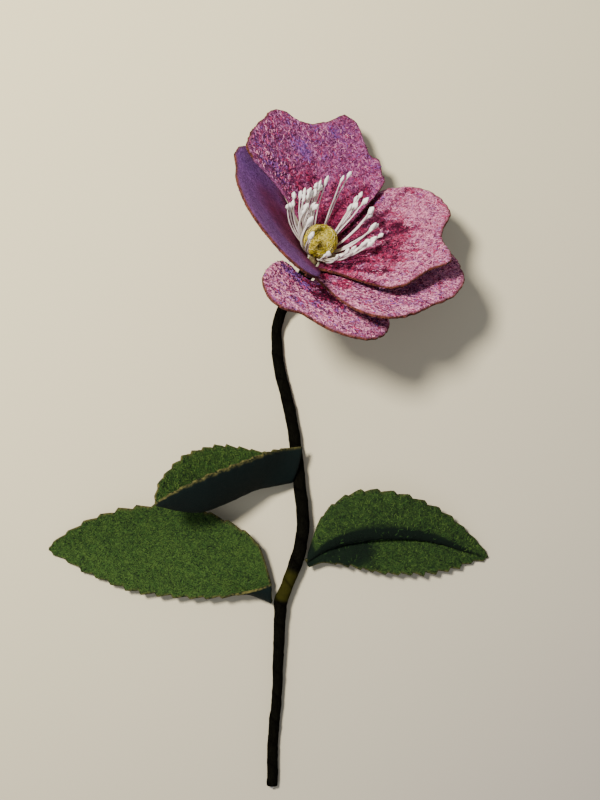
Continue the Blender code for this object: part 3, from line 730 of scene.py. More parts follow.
def waves(points, size, seed):
    """Smooth noise from about -1 to 1 at points in millimetres."""
    draw = np.random.default_rng(seed)
    total = np.zeros(points.shape[:-1])
    for _ in range(WAVE_COUNT):
        direction = draw.normal(size=3)
        length = size * draw.uniform(*WAVE_LENGTHS)
        direction *= 2 * math.pi / (np.linalg.norm(direction) * length)
        total += np.sin(points @ direction + draw.uniform(0, 2 * math.pi))
    return total / WAVE_SUM


def smooth_points(points, places):
    """Points at places from 0 to 1 on a smooth curve through the points."""
    rows = np.asarray(points, float)
    if rows.ndim == 1:
        rows = rows[:, None]
    rows = np.vstack([2 * rows[0] - rows[1], rows, 2 * rows[-1] - rows[-2]])
    spans = len(rows) - 3
    position = np.clip(np.asarray(places, float), 0.0, 1.0) * spans
    span = np.minimum(position.astype(int), spans - 1)
    t = (position - span)[:, None]
    a, b, c, d = (rows[span + k] for k in range(4))
    return 0.5 * (2 * b + (c - a) * t + (2 * a - 5 * b + 4 * c - d) * t ** 2
                  + (3 * b - a - 3 * c + d) * t ** 3)


def lengths_along(line):
    """How far along a line each of its points lies."""
    return np.concatenate([[0.0], np.cumsum(np.linalg.norm(np.diff(line, axis=0), axis=1))])


def points_at(line, lengths, targets):
    """Points of a line, or of any columns beside it, at lengths along it."""
    return np.stack([np.interp(targets, lengths, column) for column in line.T], -1)


def even_points(points, places):
    """Points at the given shares of a smooth curve's length."""
    line = smooth_points(points, np.linspace(0, 1, EDGE_SAMPLES + 1))
    lengths = lengths_along(line)
    return points_at(line, lengths, np.asarray(places, float) * lengths[-1])


def unit(vectors):
    return vectors / np.maximum(np.linalg.norm(vectors, axis=-1, keepdims=True), 1e-9)


def make_object(name, points, faces, finishes, finish_of_face=None, masks=None):
    """A mesh object, from points in millimetres in the frame."""
    mesh = bpy.data.meshes.new(name)
    mesh.from_pydata((np.asarray(points) * MM).tolist(), [], [list(map(int, f)) for f in faces])
    for finish in finishes:
        mesh.materials.append(finish)
    if finish_of_face is not None:
        mesh.polygons.foreach_set("material_index", np.asarray(finish_of_face, np.int32))
    for label, values in (masks or {}).items():
        mesh.attributes.new(label, "FLOAT", "POINT").data.foreach_set(
            "value", np.asarray(values, np.float32).ravel())
    mesh.shade_smooth()
    mesh.validate()
    obj = bpy.data.objects.new(name, mesh)
    bpy.context.scene.collection.objects.link(obj)
    return obj


def dress(obj, node, replaces=True):
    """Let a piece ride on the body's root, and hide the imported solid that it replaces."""
    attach(obj, "root")
    if replaces:
        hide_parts(node)


def bloom_to_frame(points):
    """Points in the bloom's own frame, moved to where the bloom sits."""
    lean = Matrix.Rotation(BLOOM_HEADING, 3, "Z") @ Matrix.Rotation(BLOOM_TILT, 3, "Y")
    return points @ np.array(lean).T + np.array(BLOOM_BASE) + np.array(FLOWER_SHIFT)


class Pile:
    """Points and faces of several shapes, gathered for one mesh."""

    def __init__(self):
        self.points = []
        self.faces = []
        self.count = 0

    def add(self, points, faces):
        self.points.append(points)
        self.faces += [[corner + self.count for corner in face] for face in faces]
        self.count += len(points)

    def stacked(self):
        return np.vstack(self.points)


def ring_faces(rows, sides, ends="capped"):
    """Quads of a tube whose rows of points go round it: capped, open or joined."""
    faces = []
    for i in range(rows if ends == "joined" else rows - 1):
        here = i * sides
        beyond = (i + 1) % rows * sides
        for k in range(sides):
            n = (k + 1) % sides
            faces.append((here + k, here + n, beyond + n, beyond + k))
    if ends == "capped":
        faces.append(tuple(range(sides - 1, -1, -1)))
        faces.append(tuple(range((rows - 1) * sides, rows * sides)))
    return faces


def grid_normals(grid):
    along = np.gradient(grid, axis=1)
    across = np.gradient(grid, axis=0)
    return unit(np.cross(across, along))


def pressed_thickness(felt, from_rim, width):
    """Thickness of a felt sheet under its wool, pressed thinner at the rim."""
    return (felt - FELT_ROOM) * (1 - RIM_THINNING * (1 - smooth_step(from_rim, 0.0, width)))


def felt_relief(points, relief, seed):
    """How far the pressed wool of a felt face stands out or sinks in."""
    fine, coarse = FELT_LUMPS
    return waves(points, fine, seed) * relief + waves(points, coarse, seed + 1) * relief


def felt_sheet(grid, thickness, edge_bulge, relief, seed):
    """A closed sheet of felt round a grid of middle points.

    thickness is a grid too.  The points come as the upper face, which is a
    petal's inner one, the lower face, and the strips of the cut edge.  Gives
    points, faces, and the grid place that each point of the strips belongs to."""
    columns, rows = grid.shape[:2]
    normals = grid_normals(grid)
    upper = grid + normals * (thickness / 2 + felt_relief(grid, relief, seed))[..., None]
    lower = grid - normals * (thickness / 2 + felt_relief(grid, relief, seed + 2))[..., None]
    loop = [(j, 0) for j in range(columns)] + [(columns - 1, i) for i in range(1, rows)]
    loop += [(j, rows - 1) for j in range(columns - 2, -1, -1)]
    loop += [(0, i) for i in range(rows - 2, 0, -1)]
    inner = [(min(max(j, 1), columns - 2), min(max(i, 1), rows - 2)) for j, i in loop]
    around = tuple(np.array(loop).T)
    outward = unit(grid[around] - grid[tuple(np.array(inner).T)])
    points = [upper.reshape(-1, 3), lower.reshape(-1, 3)]
    for share in EDGE_STRIPS:
        middle = upper[around] * (1 - share) + lower[around] * share
        ragged = 1 + CUT_RAGGED * waves(middle, CUT_WAVE, seed + 4)
        swell = edge_bulge * math.sin(math.pi * share) * ragged
        points.append(middle + outward * swell[:, None])
    faces = []
    offset = columns * rows
    for j in range(columns - 1):
        for i in range(rows - 1):
            a = j * rows + i
            b = a + rows
            faces.append((a, b, b + 1, a + 1))
            faces.append((a + offset + 1, b + offset + 1, b + offset, a + offset))
    turns = len(loop)
    bands = [[j * rows + i for j, i in loop]]
    bands += [[2 * offset + n * turns + k for k in range(turns)] for n in range(len(EDGE_STRIPS))]
    bands += [[offset + j * rows + i for j, i in loop]]
    for first, second in zip(bands, bands[1:]):
        for k in range(turns):
            n = (k + 1) % turns
            faces.append((first[n], first[k], second[k], second[n]))
    return np.vstack(points), faces, tuple(np.tile(places, len(EDGE_STRIPS)) for places in around)


def spread_over(grid, count, draw):
    """Seeds spread evenly by area over a grid: cells, and places in them."""
    cells = grid[:-1, :-1], grid[1:, :-1], grid[:-1, 1:]
    areas = np.linalg.norm(np.cross(cells[1] - cells[0], cells[2] - cells[0]), axis=-1)
    chosen = draw.choice(areas.size, count, p=(areas / areas.sum()).ravel())
    j, i = np.unravel_index(chosen, areas.shape)
    return j + draw.random(count), i + draw.random(count)


def read_grid(grid, j, i):
    """Values of a grid between its points."""
    j0 = np.minimum(j.astype(int), grid.shape[0] - 2)
    i0 = np.minimum(i.astype(int), grid.shape[1] - 2)
    s = j - j0
    t = i - i0
    if grid.ndim == 3:
        s = s[:, None]
        t = t[:, None]
    return (grid[j0, i0] * (1 - s) * (1 - t) + grid[j0 + 1, i0] * s * (1 - t)
            + grid[j0, i0 + 1] * (1 - s) * t + grid[j0 + 1, i0 + 1] * s * t)


def curl_seeds(grid, normals, thickness, from_rim, count, side, margin, kept, draw):
    """Where curls grow on one face of a felt sheet: grid places, points, normals."""
    j, i = spread_over(grid, count, draw)
    inside = (read_grid(from_rim, j, i) > margin) & kept(j, i)
    j, i = j[inside], i[inside]
    normal = unit(read_grid(normals, j, i)) * side
    return j, i, read_grid(grid, j, i) + normal * read_grid(thickness, j, i)[:, None] / 2, normal


def wool_curls(centres, normals, settings, lift, draw, grain=WOOL_GRAIN, stations=CURL_STATIONS):
    """Short curls of wool lying on a surface: points, faces, and each face's curl.

    Each is a closed three-sided thread whose ends dip into the felt."""
    count = len(centres)
    radius = settings.curl_radius / MM
    forward = unit(np.cross(normals, np.array(grain)))
    sideways = unit(np.cross(normals, forward))
    lengths = settings.curl_length / MM * draw.uniform(*CURL_LENGTHS, count)
    bends = draw.uniform(*CURL_BENDS, count) * draw.choice([-1.0, 1.0], count)
    heading = draw.uniform(0, 2 * math.pi, count)
    shares = np.linspace(0, 1, stations)
    angles = heading[:, None] + bends[:, None] * (shares - 0.5)
    steps = lengths[:, None] / (stations - 1)
    x = np.cumsum(np.cos(angles) * steps, axis=1)
    y = np.cumsum(np.sin(angles) * steps, axis=1)
    x -= x.mean(axis=1, keepdims=True)
    y -= y.mean(axis=1, keepdims=True)
    rise = lift * draw.uniform(*CURL_RISES, count)[:, None] * np.sin(math.pi * shares)
    rise = rise - CURL_DIP * radius
    spine = (centres[:, None] + forward[:, None] * x[..., None] + sideways[:, None] * y[..., None]
             + normals[:, None] * rise[..., None])
    ahead = unit(np.gradient(spine, axis=1))
    right = unit(np.cross(ahead, np.broadcast_to(normals[:, None], spine.shape)))
    up = unit(np.cross(right, ahead))
    taper = CURL_END + (1 - CURL_END) * np.sin(math.pi * shares) ** CURL_TAPER
    thick = radius * draw.uniform(*CURL_THICKNESSES, count)[:, None] * taper
    corners = []
    for corner in range(CURL_SIDES):
        angle = math.pi / 2 + corner * 2 * math.pi / CURL_SIDES
        corners.append(spine + thick[..., None] * (right * math.cos(angle) + up * math.sin(angle)))
    points = np.stack(corners, axis=2).reshape(-1, 3)
    *walls, first, last = ring_faces(stations, CURL_SIDES)
    starts = np.arange(count)[:, None, None] * CURL_SIDES * stations
    faces = (np.array(walls)[None] + starts).reshape(-1, 4).tolist()
    faces += (np.array([first, last])[None] + starts).reshape(-1, CURL_SIDES).tolist()
    curls = np.arange(count)
    return points, faces, np.concatenate([np.repeat(curls, len(walls)), np.repeat(curls, 2)])


# Petals

def petal_points(petal, across, reach):
    """Middle of the felt, in the bloom's frame, across from -1 to 1."""
    opening = math.radians(petal["opening"])
    lean = opening + np.radians(petal["roll"] * across + petal["cup"] * across ** 2)
    step = reach / PETAL_CURVE_STEPS
    out = np.zeros_like(reach)
    up = np.zeros_like(reach)
    for k in range(PETAL_CURVE_STEPS):
        slope = lean - CLAW_STEEPNESS * np.exp(-(k + 0.5) * step / CLAW_REACH)
        out += np.sin(slope) * step
        up += np.cos(slope) * step
    slope = lean - CLAW_STEEPNESS * np.exp(-reach / CLAW_REACH)
    depth = petal["layer"] * (PETAL_FELT + LAYER_GAP)
    out += depth * np.cos(slope)
    up -= depth * np.sin(slope)
    narrow = petal["waist"] * np.clip(1 - reach / WAIST_REACH, 0, 1) * (across > 0)
    turn = np.radians(petal["azimuth"] + petal["fan"] * across * (1 - narrow) / math.sin(opening))
    turn += CLAW_WRAP * across * np.exp(-reach / CLAW_WRAP_REACH)
    return np.stack([out * np.cos(turn), out * np.sin(turn), up], -1)


def petal_grid(petal, seed):
    """Fine grid of a petal's middle, and each point's across, share and reach."""
    places = np.linspace(1, 0, PETAL_COLUMNS + 1)
    shares = np.linspace(0, 1, PETAL_ROWS + 1) ** PETAL_CROWDING
    rim = smooth_points(petal["rim"], places)[:, 0]
    along_rim = places[:, None] * np.array([RIM_LENGTH, 0.0, 0.0])
    rim = rim + RIM_RAGGED * waves(along_rim, RIM_WAVE, seed)
    across = np.broadcast_to((2 * places - 1)[:, None], (len(places), len(shares)))
    share = np.broadcast_to(shares, across.shape)
    reach = petal["claw"] + (rim[:, None] - petal["claw"]) * share
    return petal_points(petal, across, reach), across, share, reach


def petal_dyes(name, across, share, reach):
    """How much crimson, wine, violet and pale lies at each point, as dye and as painted shadow,
    shade and highlight.
    """
    dye = DYES[name]
    seed = list(PETALS).index(name)
    aside = 0.9 * reach
    flat = np.zeros_like(reach)
    streak = waves(np.stack([across * STREAK_SPREAD, reach * 0.22, flat + 5.0 * seed], -1),
                   STREAK_SPREAD / dye["streaks"], 11 + seed)
    mottle = waves(np.stack([across * aside, reach, flat], -1), MOTTLE_SIZE, 31 + seed)
    limit = dye["crimson_to"] * (1 + STREAK_SWING * streak)
    before, past = CRIMSON_FADE
    crimson = dye["crimson"] * (1 - smooth_step(reach, limit - before, limit + past))
    dyes = {
        "crimson": crimson * (0.8 + 0.2 * mottle),
        "wine": crimson * smooth_step(streak, -0.1, 0.9) * 0.9,
        "violet": dye["violet"] * smooth_step(share + 0.15 * mottle, 0.25, 0.65),
        "pale": dye["pale"] * smooth_step(share, 0.2, 0.8) * (0.85 + 0.25 * mottle),
    }
    for spot_across, spot_reach, radius, key, strength in dye["spots"]:
        away = np.hypot((across - spot_across) * aside, reach - spot_reach) / radius
        spot = strength * np.exp(-away ** 2) * (0.85 + 0.25 * mottle)
        dyes[key] = dyes[key] + spot * (1 - np.clip(dyes[key], 0.0, 1.0))
        if key == "wine":
            dyes["crimson"] = np.maximum(dyes["crimson"], spot)
    return {key: np.clip(value, 0.0, 1.0) for key, value in dyes.items()}


def petal_finish(settings):
    """Felt of the petals, whose dye and painted shadow, shade and highlight the mesh holds in
    masks.
    """
    def light(felt):
        wool = felt.mix(felt.noise(2.5, detail=3.0), settings.mauve, settings.lavender)
        wool = felt.mix(felt.mask("pale"), wool, settings.pale)
        wool = felt.mix(felt.mask("violet"), wool, settings.violet)
        wool = felt.mix(felt.mask("crimson"), wool, settings.crimson)
        return felt.mix(felt.mask("wine"), wool, settings.wine)

    def dark(felt):
        gap = felt.mix(felt.mask("pale") * 0.4, settings.plum, settings.mauve)
        gap = felt.mix(felt.mask("violet"), gap, settings.indigo)
        return felt.mix(felt.mask("crimson"), gap, settings.wine)

    def edge(felt):
        flecks = felt.noise(0.8, detail=2.0, distortion=1.0)
        return felt.mix(felt.clamp(flecks * 3.0 - 1.0), settings.burnt_edge, settings.cut_edge)

    return felt_finish("petal_felt", light, dark, edge, wool_size=1.0, depth_mm=0.22)


def choose(draw, weights):
    """One of the columns for each row, by the row's weights."""
    sums = np.cumsum(weights, axis=1)
    return (draw.random(len(weights))[:, None] * sums[:, -1:] > sums).sum(axis=1)


def curl_tints(dyes, centres, seed, draw):
    """Wool of each curl on a petal, from the dyes where it lies.

    Neighbouring curls take the same dye; how light they are is left to chance.
    The weights stand in the order of PETAL_WOOLS."""
    patch = 0.5 + 0.32 * waves(centres, DYE_PATCH, seed + 7)
    patch += 0.18 * draw.uniform(-1, 1, len(centres))
    crimson = smooth_step(dyes["crimson"] - patch, -0.25, 0.1)
    violet = smooth_step(dyes["violet"] - patch, -0.2, 0.1) * (1 - crimson)
    wine = smooth_step(dyes["wine"], 0.15, 0.75)
    plain = np.clip(1 - crimson - violet, 0.0, 1.0)
    pale = dyes["pale"]
    return choose(draw, np.stack([
        plain * (0.02 + 0.8 * pale),
        plain * 0.42 + violet * 0.06,
        plain * (0.35 - 0.1 * pale),
        plain * (0.58 - 0.40 * pale),
        crimson * 0.5 * (1 - wine),
        crimson * (0.75 - 0.35 * wine),
        crimson * (0.42 + 1.1 * wine),
        violet * 0.75,
        violet * 0.5,
    ], -1))


def make_petal(name, settings, felt, wools):
    """One petal: its felt, with the wool curls that stand out of it."""
    seed = PETAL_SEED + 10 * list(PETALS).index(name)
    dye = DYES[name]
    grid, across, share, reach = petal_grid(PETALS[name], seed)
    grid = bloom_to_frame(grid)
    dyes = petal_dyes(name, across, share, reach)
    from_side = (1 - abs(across)) * np.maximum(reach, LEAST_REACH) * PETAL_WIDENING
    from_rim = np.minimum((1 - share) * reach, from_side)
    thickness = pressed_thickness(PETAL_FELT, from_rim, PETAL_THINNING_WIDTH)
    points, faces, around = felt_sheet(grid, thickness, PETAL_EDGE_BULGE, PETAL_RELIEF, seed)
    near_rim = 1 - smooth_step(from_rim, RIM_BROWN_FROM, PETAL_SINGED_WIDTH)
    singed = np.where(across > LEFT_SIDE, dye["singed"], 1.0)
    inner, outer = PETAL_SINGED
    masks = {"edge": np.concatenate([inner * (near_rim * singed).ravel(),
                                     outer * near_rim.ravel(), singed[around]])}
    for key, value in dyes.items():
        outside = 1.0 if key == "violet" else DYE_OUTSIDE
        masks[key] = np.concatenate([value.ravel(), outside * value.ravel(), value[around]])
    dress(make_object(name + "_felt", points, faces, [felt], masks=masks), name)

    draw = np.random.default_rng(seed)
    normals = grid_normals(grid)
    pile = Pile()
    tints = []
    counts = int(settings.curls * dye["fluff"]), settings.curls // OUTER_CURL_SHARE
    for side, count, rise in zip((1, -1), counts, PETAL_CURL_RISE):
        j, i, centre, normal = curl_seeds(
            grid, normals, thickness, from_rim, count, side, PETAL_CURL_MARGIN,
            lambda j, i: read_grid(reach, j, i) > PETAL_CURL_FROM, draw)
        here = {key: read_grid(value, j, i) for key, value in dyes.items()}
        tint = curl_tints(here, centre, seed, draw)
        curl_points, curl_faces, owner = wool_curls(centre, normal, settings, rise, draw)
        pile.add(curl_points, curl_faces)
        tints.append(tint[owner])
    curls = make_object(name + "_curls", pile.stacked(), pile.faces, wools,
                        finish_of_face=np.concatenate(tints))
    dress(curls, name, replaces=False)


class FELTROSE_OT_petals(bpy.types.Operator):
    """Build the five felt petals with their wool curls"""
    bl_idname = "felt_rose.petals"
    bl_label = "Petals"

    def execute(self, context):
        settings = context.scene.rose_petals
        felt = petal_finish(settings)
        wools = wool_tints("petal", settings, PETAL_WOOLS)
        for name in PETALS:
            make_petal(name, settings, felt, wools)
        return {"FINISHED"}


# Leaves

def leaf_rows(leaf):
    """Each row's place along a leaf, and its tooth's share of the full depth."""
    rows = [(place, 0.0) for place in LEAF_BASE_ROWS]
    first, last = TEETH_SPAN
    step = (last - first) / leaf["teeth"]
    for k in range(leaf["teeth"]):
        share = (k + 0.5) / leaf["teeth"]
        depth = min(1.0, FIRST_TOOTH + share)
        if share > LAST_TEETH_FROM:
            depth = LAST_TOOTH
        for part in TOOTH_STEPS:
            height = part / TOOTH_PEAK if part <= TOOTH_PEAK else (1 - part) / (1 - TOOTH_PEAK)
            rows.append((first + (k + part) * step, depth * height))
    return rows + [(last, 0.0), (LEAF_END, 0.0)]


def leaf_grid(leaf, seed):
    """Fine grid of a leaf's middle: columns cross it, rows run along it."""
    rows = leaf_rows(leaf)
    places = [place for place, _ in rows]
    depth = np.array([tooth for _, tooth in rows]) * leaf["tooth_depth"]
    fold = even_points(leaf["fold"], places)
    along = np.gradient(fold, axis=0)
    shares = np.linspace(0, 1, LEAF_COLUMNS_PER_HALF + 1)[1:]
    halves = []
    for side, outline in enumerate(leaf["edges"]):
        across = even_points(outline, places) - fold
        lift = np.cross(along, across) if side else np.cross(across, along)
        width = np.linalg.norm(across, axis=1, keepdims=True)
        lift = unit(lift) * width * leaf["arch"][side]
        uneven = 1 + TOOTH_UNEVEN * waves(fold, TOOTH_WAVE, seed + side)
        columns = []
        for w in shares:
            rise = w ** leaf["crown"][side]
            column = fold + across * w + lift * 4 * rise * (1 - rise)
            drawn = smooth_step(w, TOOTH_DRAW_FROM, 1.0)
            column += unit(across) * (depth * uneven * drawn)[:, None]
            columns.append(column)
        halves.append(columns)
    columns = halves[0][::-1] + [fold] + halves[1]
    return np.stack(columns) + np.array(FLOWER_SHIFT)


def painted_leaf_shade(leaf, columns, rows):
    """Painted shade and shadow on the felt: spots across from -1 to 1 and along."""
    across = np.linspace(-1, 1, columns)[:, None]
    along = np.array([place for place, _ in leaf_rows(leaf)])[None]
    shade = np.zeros((columns, rows))
    for spot_across, spot_along, wide, long, strength in leaf["painted_shades"]:
        away = np.hypot((across - spot_across) / wide, (along - spot_along) / long)
        shade = np.maximum(shade, strength * (1 - smooth_step(away, *PAINTED_SHADE_FADE)))
    return shade


def leaf_finish(settings):
    """Felt of the leaves: mottled green above, with spots of painted shade, and below a dark teal
    made near black with painted shade.
    """
    def light(felt):
        wool = felt.mix(felt.noise(2.2, detail=3.0), settings.green, settings.light)
        # Painted shade and shadow turn the wool dark green
        wool = felt.mix(felt.mask("shade"), wool, settings.dark)
        # The lower face takes the dark teal, near black with painted shade
        return felt.mix(felt.mask("under"), wool, settings.under)

    def dark(felt):
        return felt.mix(felt.mask("under") * 0.8, settings.dark, settings.under)

    def edge(felt):
        flecks = felt.clamp(felt.noise(0.8, detail=2.0) * 3.0 - 1.0)
        return felt.mix(flecks, settings.dark, settings.cut_edge)

    return felt_finish("leaf_felt", light, dark, edge, wool_size=0.6, depth_mm=0.08)


def make_leaf(name, settings, felt, wools):
    """One folded leaf with its fine wool."""
    seed = LEAF_SEED + 10 * list(LEAVES).index(name)
    leaf = LEAVES[name]
    grid = leaf_grid(leaf, seed)
    columns, rows = grid.shape[:2]
    from_side = np.minimum(np.arange(columns), np.arange(columns)[::-1])
    widths = np.linalg.norm(np.diff(grid, axis=0), axis=-1).mean(axis=0)
    from_rim = from_side[:, None] * widths[None]
    thickness = pressed_thickness(LEAF_FELT, from_rim, LEAF_THINNING_WIDTH)
    points, faces, around = felt_sheet(grid, thickness, LEAF_EDGE_BULGE, LEAF_RELIEF, seed)
    near_rim = 1 - smooth_step(from_rim, RIM_BROWN_FROM, LEAF_EDGED_WIDTH)
    shade = painted_leaf_shade(leaf, columns, rows)
    none = np.zeros(columns * rows)
    strips = np.repeat(EDGE_STRIPS, len(around[0]) // len(EDGE_STRIPS))
    upper, lower = LEAF_EDGED
    masks = {
        "edge": np.concatenate([upper * near_rim.ravel(), lower * near_rim.ravel(),
                                np.ones(len(strips))]),
        "under": np.concatenate([none, none + 1, strips]),
        "shade": np.concatenate([shade.ravel(), none, shade[around]]),
    }
    dress(make_object(name + "_felt", points, faces, [felt], masks=masks), name)

    draw = np.random.default_rng(seed)
    j, i, centre, normal = curl_seeds(
        grid, grid_normals(grid), thickness, from_rim, settings.curls, 1, LEAF_CURL_MARGIN,
        lambda j, i: i > LEAF_CURL_FROM_ROW, draw)
    curl_points, curl_faces, owner = wool_curls(centre, normal, settings, LEAF_CURL_RISE, draw)
    patch = 0.5 + 0.5 * waves(centre, GREEN_PATCH, seed + 5)
    # Curls take dark wool where painted shade and shadow lie
    dull = read_grid(shade, j, i)
    tints = choose(draw, np.stack([(0.3 + 0.9 * patch) * (1 - dull), 0.9 * (1 - 0.9 * dull),
                                   0.9 - 0.6 * patch + dull], -1))
    curls = make_object(name + "_curls", curl_points, curl_faces, wools,
                        finish_of_face=tints[owner])
    dress(curls, name, replaces=False)


class FELTROSE_OT_leaves(bpy.types.Operator):
    """Build the three folded felt leaves"""
    bl_idname = "felt_rose.leaves"
    bl_label = "Leaves"

    def execute(self, context):
        settings = context.scene.rose_leaves
        felt = leaf_finish(settings)
        wools = wool_tints("leaf", settings, LEAF_WOOLS)
        for name in LEAVES:
            make_leaf(name, settings, felt, wools)
        return {"FINISHED"}


# Ball

def ball_middle():
    """Middle of the ball, in the bloom's frame."""
    return np.array([math.cos(BALL_ASIDE_AZIMUTH) * BALL_ASIDE,
                     math.sin(BALL_ASIDE_AZIMUTH) * BALL_ASIDE, BALL_HEIGHT])


def make_ball(settings):
    """The fuzzy ball: shallow lumps, with wool wound all round it."""
    longitudes = np.linspace(0, 2 * math.pi, BALL_SEGMENTS, endpoint=False)
    latitudes = np.linspace(math.pi, 0, BALL_RINGS + 1)[1:-1]
    outward = np.stack([
        np.sin(latitudes)[:, None] * np.cos(longitudes),
        np.sin(latitudes)[:, None] * np.sin(longitudes),
        np.broadcast_to(np.cos(latitudes)[:, None], (len(latitudes), BALL_SEGMENTS)),
    ], -1).reshape(-1, 3)
    outward = np.vstack([outward, [[0, 0, -1], [0, 0, 1]]])
    lumps = np.prod(np.sin(BALL_WAVES * outward + np.array(BALL_TURNS)), axis=-1)
    rough = waves(outward * BALL_RADIUS, 1.2, 5) * BALL_ROUGH
    surface = outward * (BALL_RADIUS + BALL_SWELL + BALL_RELIEF * lumps + rough)[:, None]
    faces = ring_faces(BALL_RINGS - 1, BALL_SEGMENTS, ends="open")
    bottom = len(outward) - 2
    last = (BALL_RINGS - 2) * BALL_SEGMENTS
    for k in range(BALL_SEGMENTS):
        n = (k + 1) % BALL_SEGMENTS
        faces.append((bottom, n, k))
        faces.append((bottom + 1, last + k, last + n))

    def light(felt):
        return felt.mix(felt.noise(1.5, detail=2.0), settings.middle, settings.light)

    def dark(felt):
        return settings.dark

    felt = felt_finish("ball_wool", light, dark, dark, wool_size=0.9, depth_mm=0.15)
    ball = make_object("centre_ball_felt", bloom_to_frame(surface + ball_middle()), faces, [felt],
                       masks={"edge": np.zeros(len(surface))})
    dress(ball, "centre_ball")

    draw = np.random.default_rng(BALL_SEED)
    normal = unit(draw.normal(size=(settings.curls, 3)))
    points, faces, owner = wool_curls(
        normal * (BALL_RADIUS + BALL_CURL_HEIGHT), normal, settings, BALL_FUZZ, draw,
        grain=draw.normal(size=3), stations=BALL_CURL_STATIONS)
    tints = choose(draw, np.tile(BALL_TINTS, (settings.curls, 1)))
    curls = make_object("centre_ball_curls", bloom_to_frame(points + ball_middle()), faces,
                        wool_tints("ball", settings, BALL_WOOLS), finish_of_face=tints[owner])
    dress(curls, "centre_ball", replaces=False)


class FELTROSE_OT_ball(bpy.types.Operator):
    """Build the fuzzy ball at the bloom's heart"""
    bl_idname = "felt_rose.ball"
    bl_label = "Ball"

    def execute(self, context):
        make_ball(context.scene.rose_ball)
        return {"FINISHED"}


# Stamens

def stamen_places():
    """Azimuth, lean, reach and bend of every stamen, tuft by tuft."""
    draw = random.Random(STAMEN_SEED)
    places = []
    for azimuth, spread, lean, reach, count in STAMEN_TUFTS:
        for k in range(count):
            turn = azimuth + spread * (2 * (k + 0.5) / count - 1)
            turn += draw.uniform(-STAMEN_AZIMUTH_DRIFT, STAMEN_AZIMUTH_DRIFT)
            tilt = lean + draw.uniform(-STAMEN_LEAN_DRIFT, STAMEN_LEAN_DRIFT)
            length = reach + draw.uniform(-STAMEN_REACH_DRIFT, STAMEN_REACH_DRIFT)
            bend = draw.uniform(-STAMEN_BEND, STAMEN_BEND)
            places.append((math.radians(turn), math.radians(tilt), length, math.radians(bend)))
    return places


def tube_points(line, radii, sides):
    """Rings of points round a line, without twisting along it."""
    ahead = unit(np.gradient(line, axis=0))
    side = unit(np.cross(ahead[0], RING_START))
    angles = np.linspace(0, 2 * math.pi, sides, endpoint=False)
    rings = []
    for k in range(len(line)):
        side = unit(side - ahead[k] * (side @ ahead[k]))
        other = np.cross(ahead[k], side)
        spokes = np.cos(angles)[:, None] * side + np.sin(angles)[:, None] * other
        rings.append(line[k] + np.broadcast_to(radii[k], (sides,))[:, None] * spokes)
    return np.vstack(rings)


def stamen_points(azimuth, bend, root, knee, tip, shares):
    """Points of a curve from root to tip by way of a knee, turned about the axis."""
    s = shares[:, None]
    out, up = ((1 - s) ** 2 * root + 2 * s * (1 - s) * knee + s ** 2 * tip).T
    turn = azimuth + bend * shares ** 2
    return np.stack([out * np.cos(turn), out * np.sin(turn), up], -1)


def stamen_line(azimuth, lean, reach, bend, shares):
    """Points along one thread, which bows out far enough to pass the ball."""
    root = np.array([STAMEN_ROOT_OUT, STAMEN_ROOT_HEIGHT])
    tip = np.array([reach * math.sin(lean), STAMEN_ROOT_HEIGHT + reach * math.cos(lean)])
    knee = root + np.array(STAMEN_KNEE) * (tip - root)
    checked = np.linspace(0, 1, STAMEN_CHECKS + 1)
    while True:
        line = stamen_points(azimuth, bend, root, knee, tip, checked)
        if np.linalg.norm(line - ball_middle(), axis=1).min() >= STAMEN_CLEAR_OF_BALL:
            return stamen_points(azimuth, bend, root, knee, tip, shares)
        knee[0] += STAMEN_KNEE_STEP


def stamen_finish(settings):
    """White thread, stained at its foot, with brighter dipped heads."""
    thread = Finish("stamen_thread")
    twist = thread.noise(0.35, detail=1.0)
    foot = thread.clamp(thread.mask("root") * (0.6 + thread.noise(2.0) * 0.8))
    colour = thread.mix(foot, settings.thread, settings.root)
    colour = thread.mix(thread.mask("dip"), colour, settings.head)
    shade = thread.mix(twist, THREAD_SHADE, (1.0, 1.0, 1.0))
    colour = thread.mix(1.0, colour, shade, blend="MULTIPLY")
    return thread.surface(Base_Color=colour, Roughness=0.62 - thread.mask("dip") * 0.22,
                          Normal=thread.bump(twist, 0.05), Specular_IOR_Level=0.4)


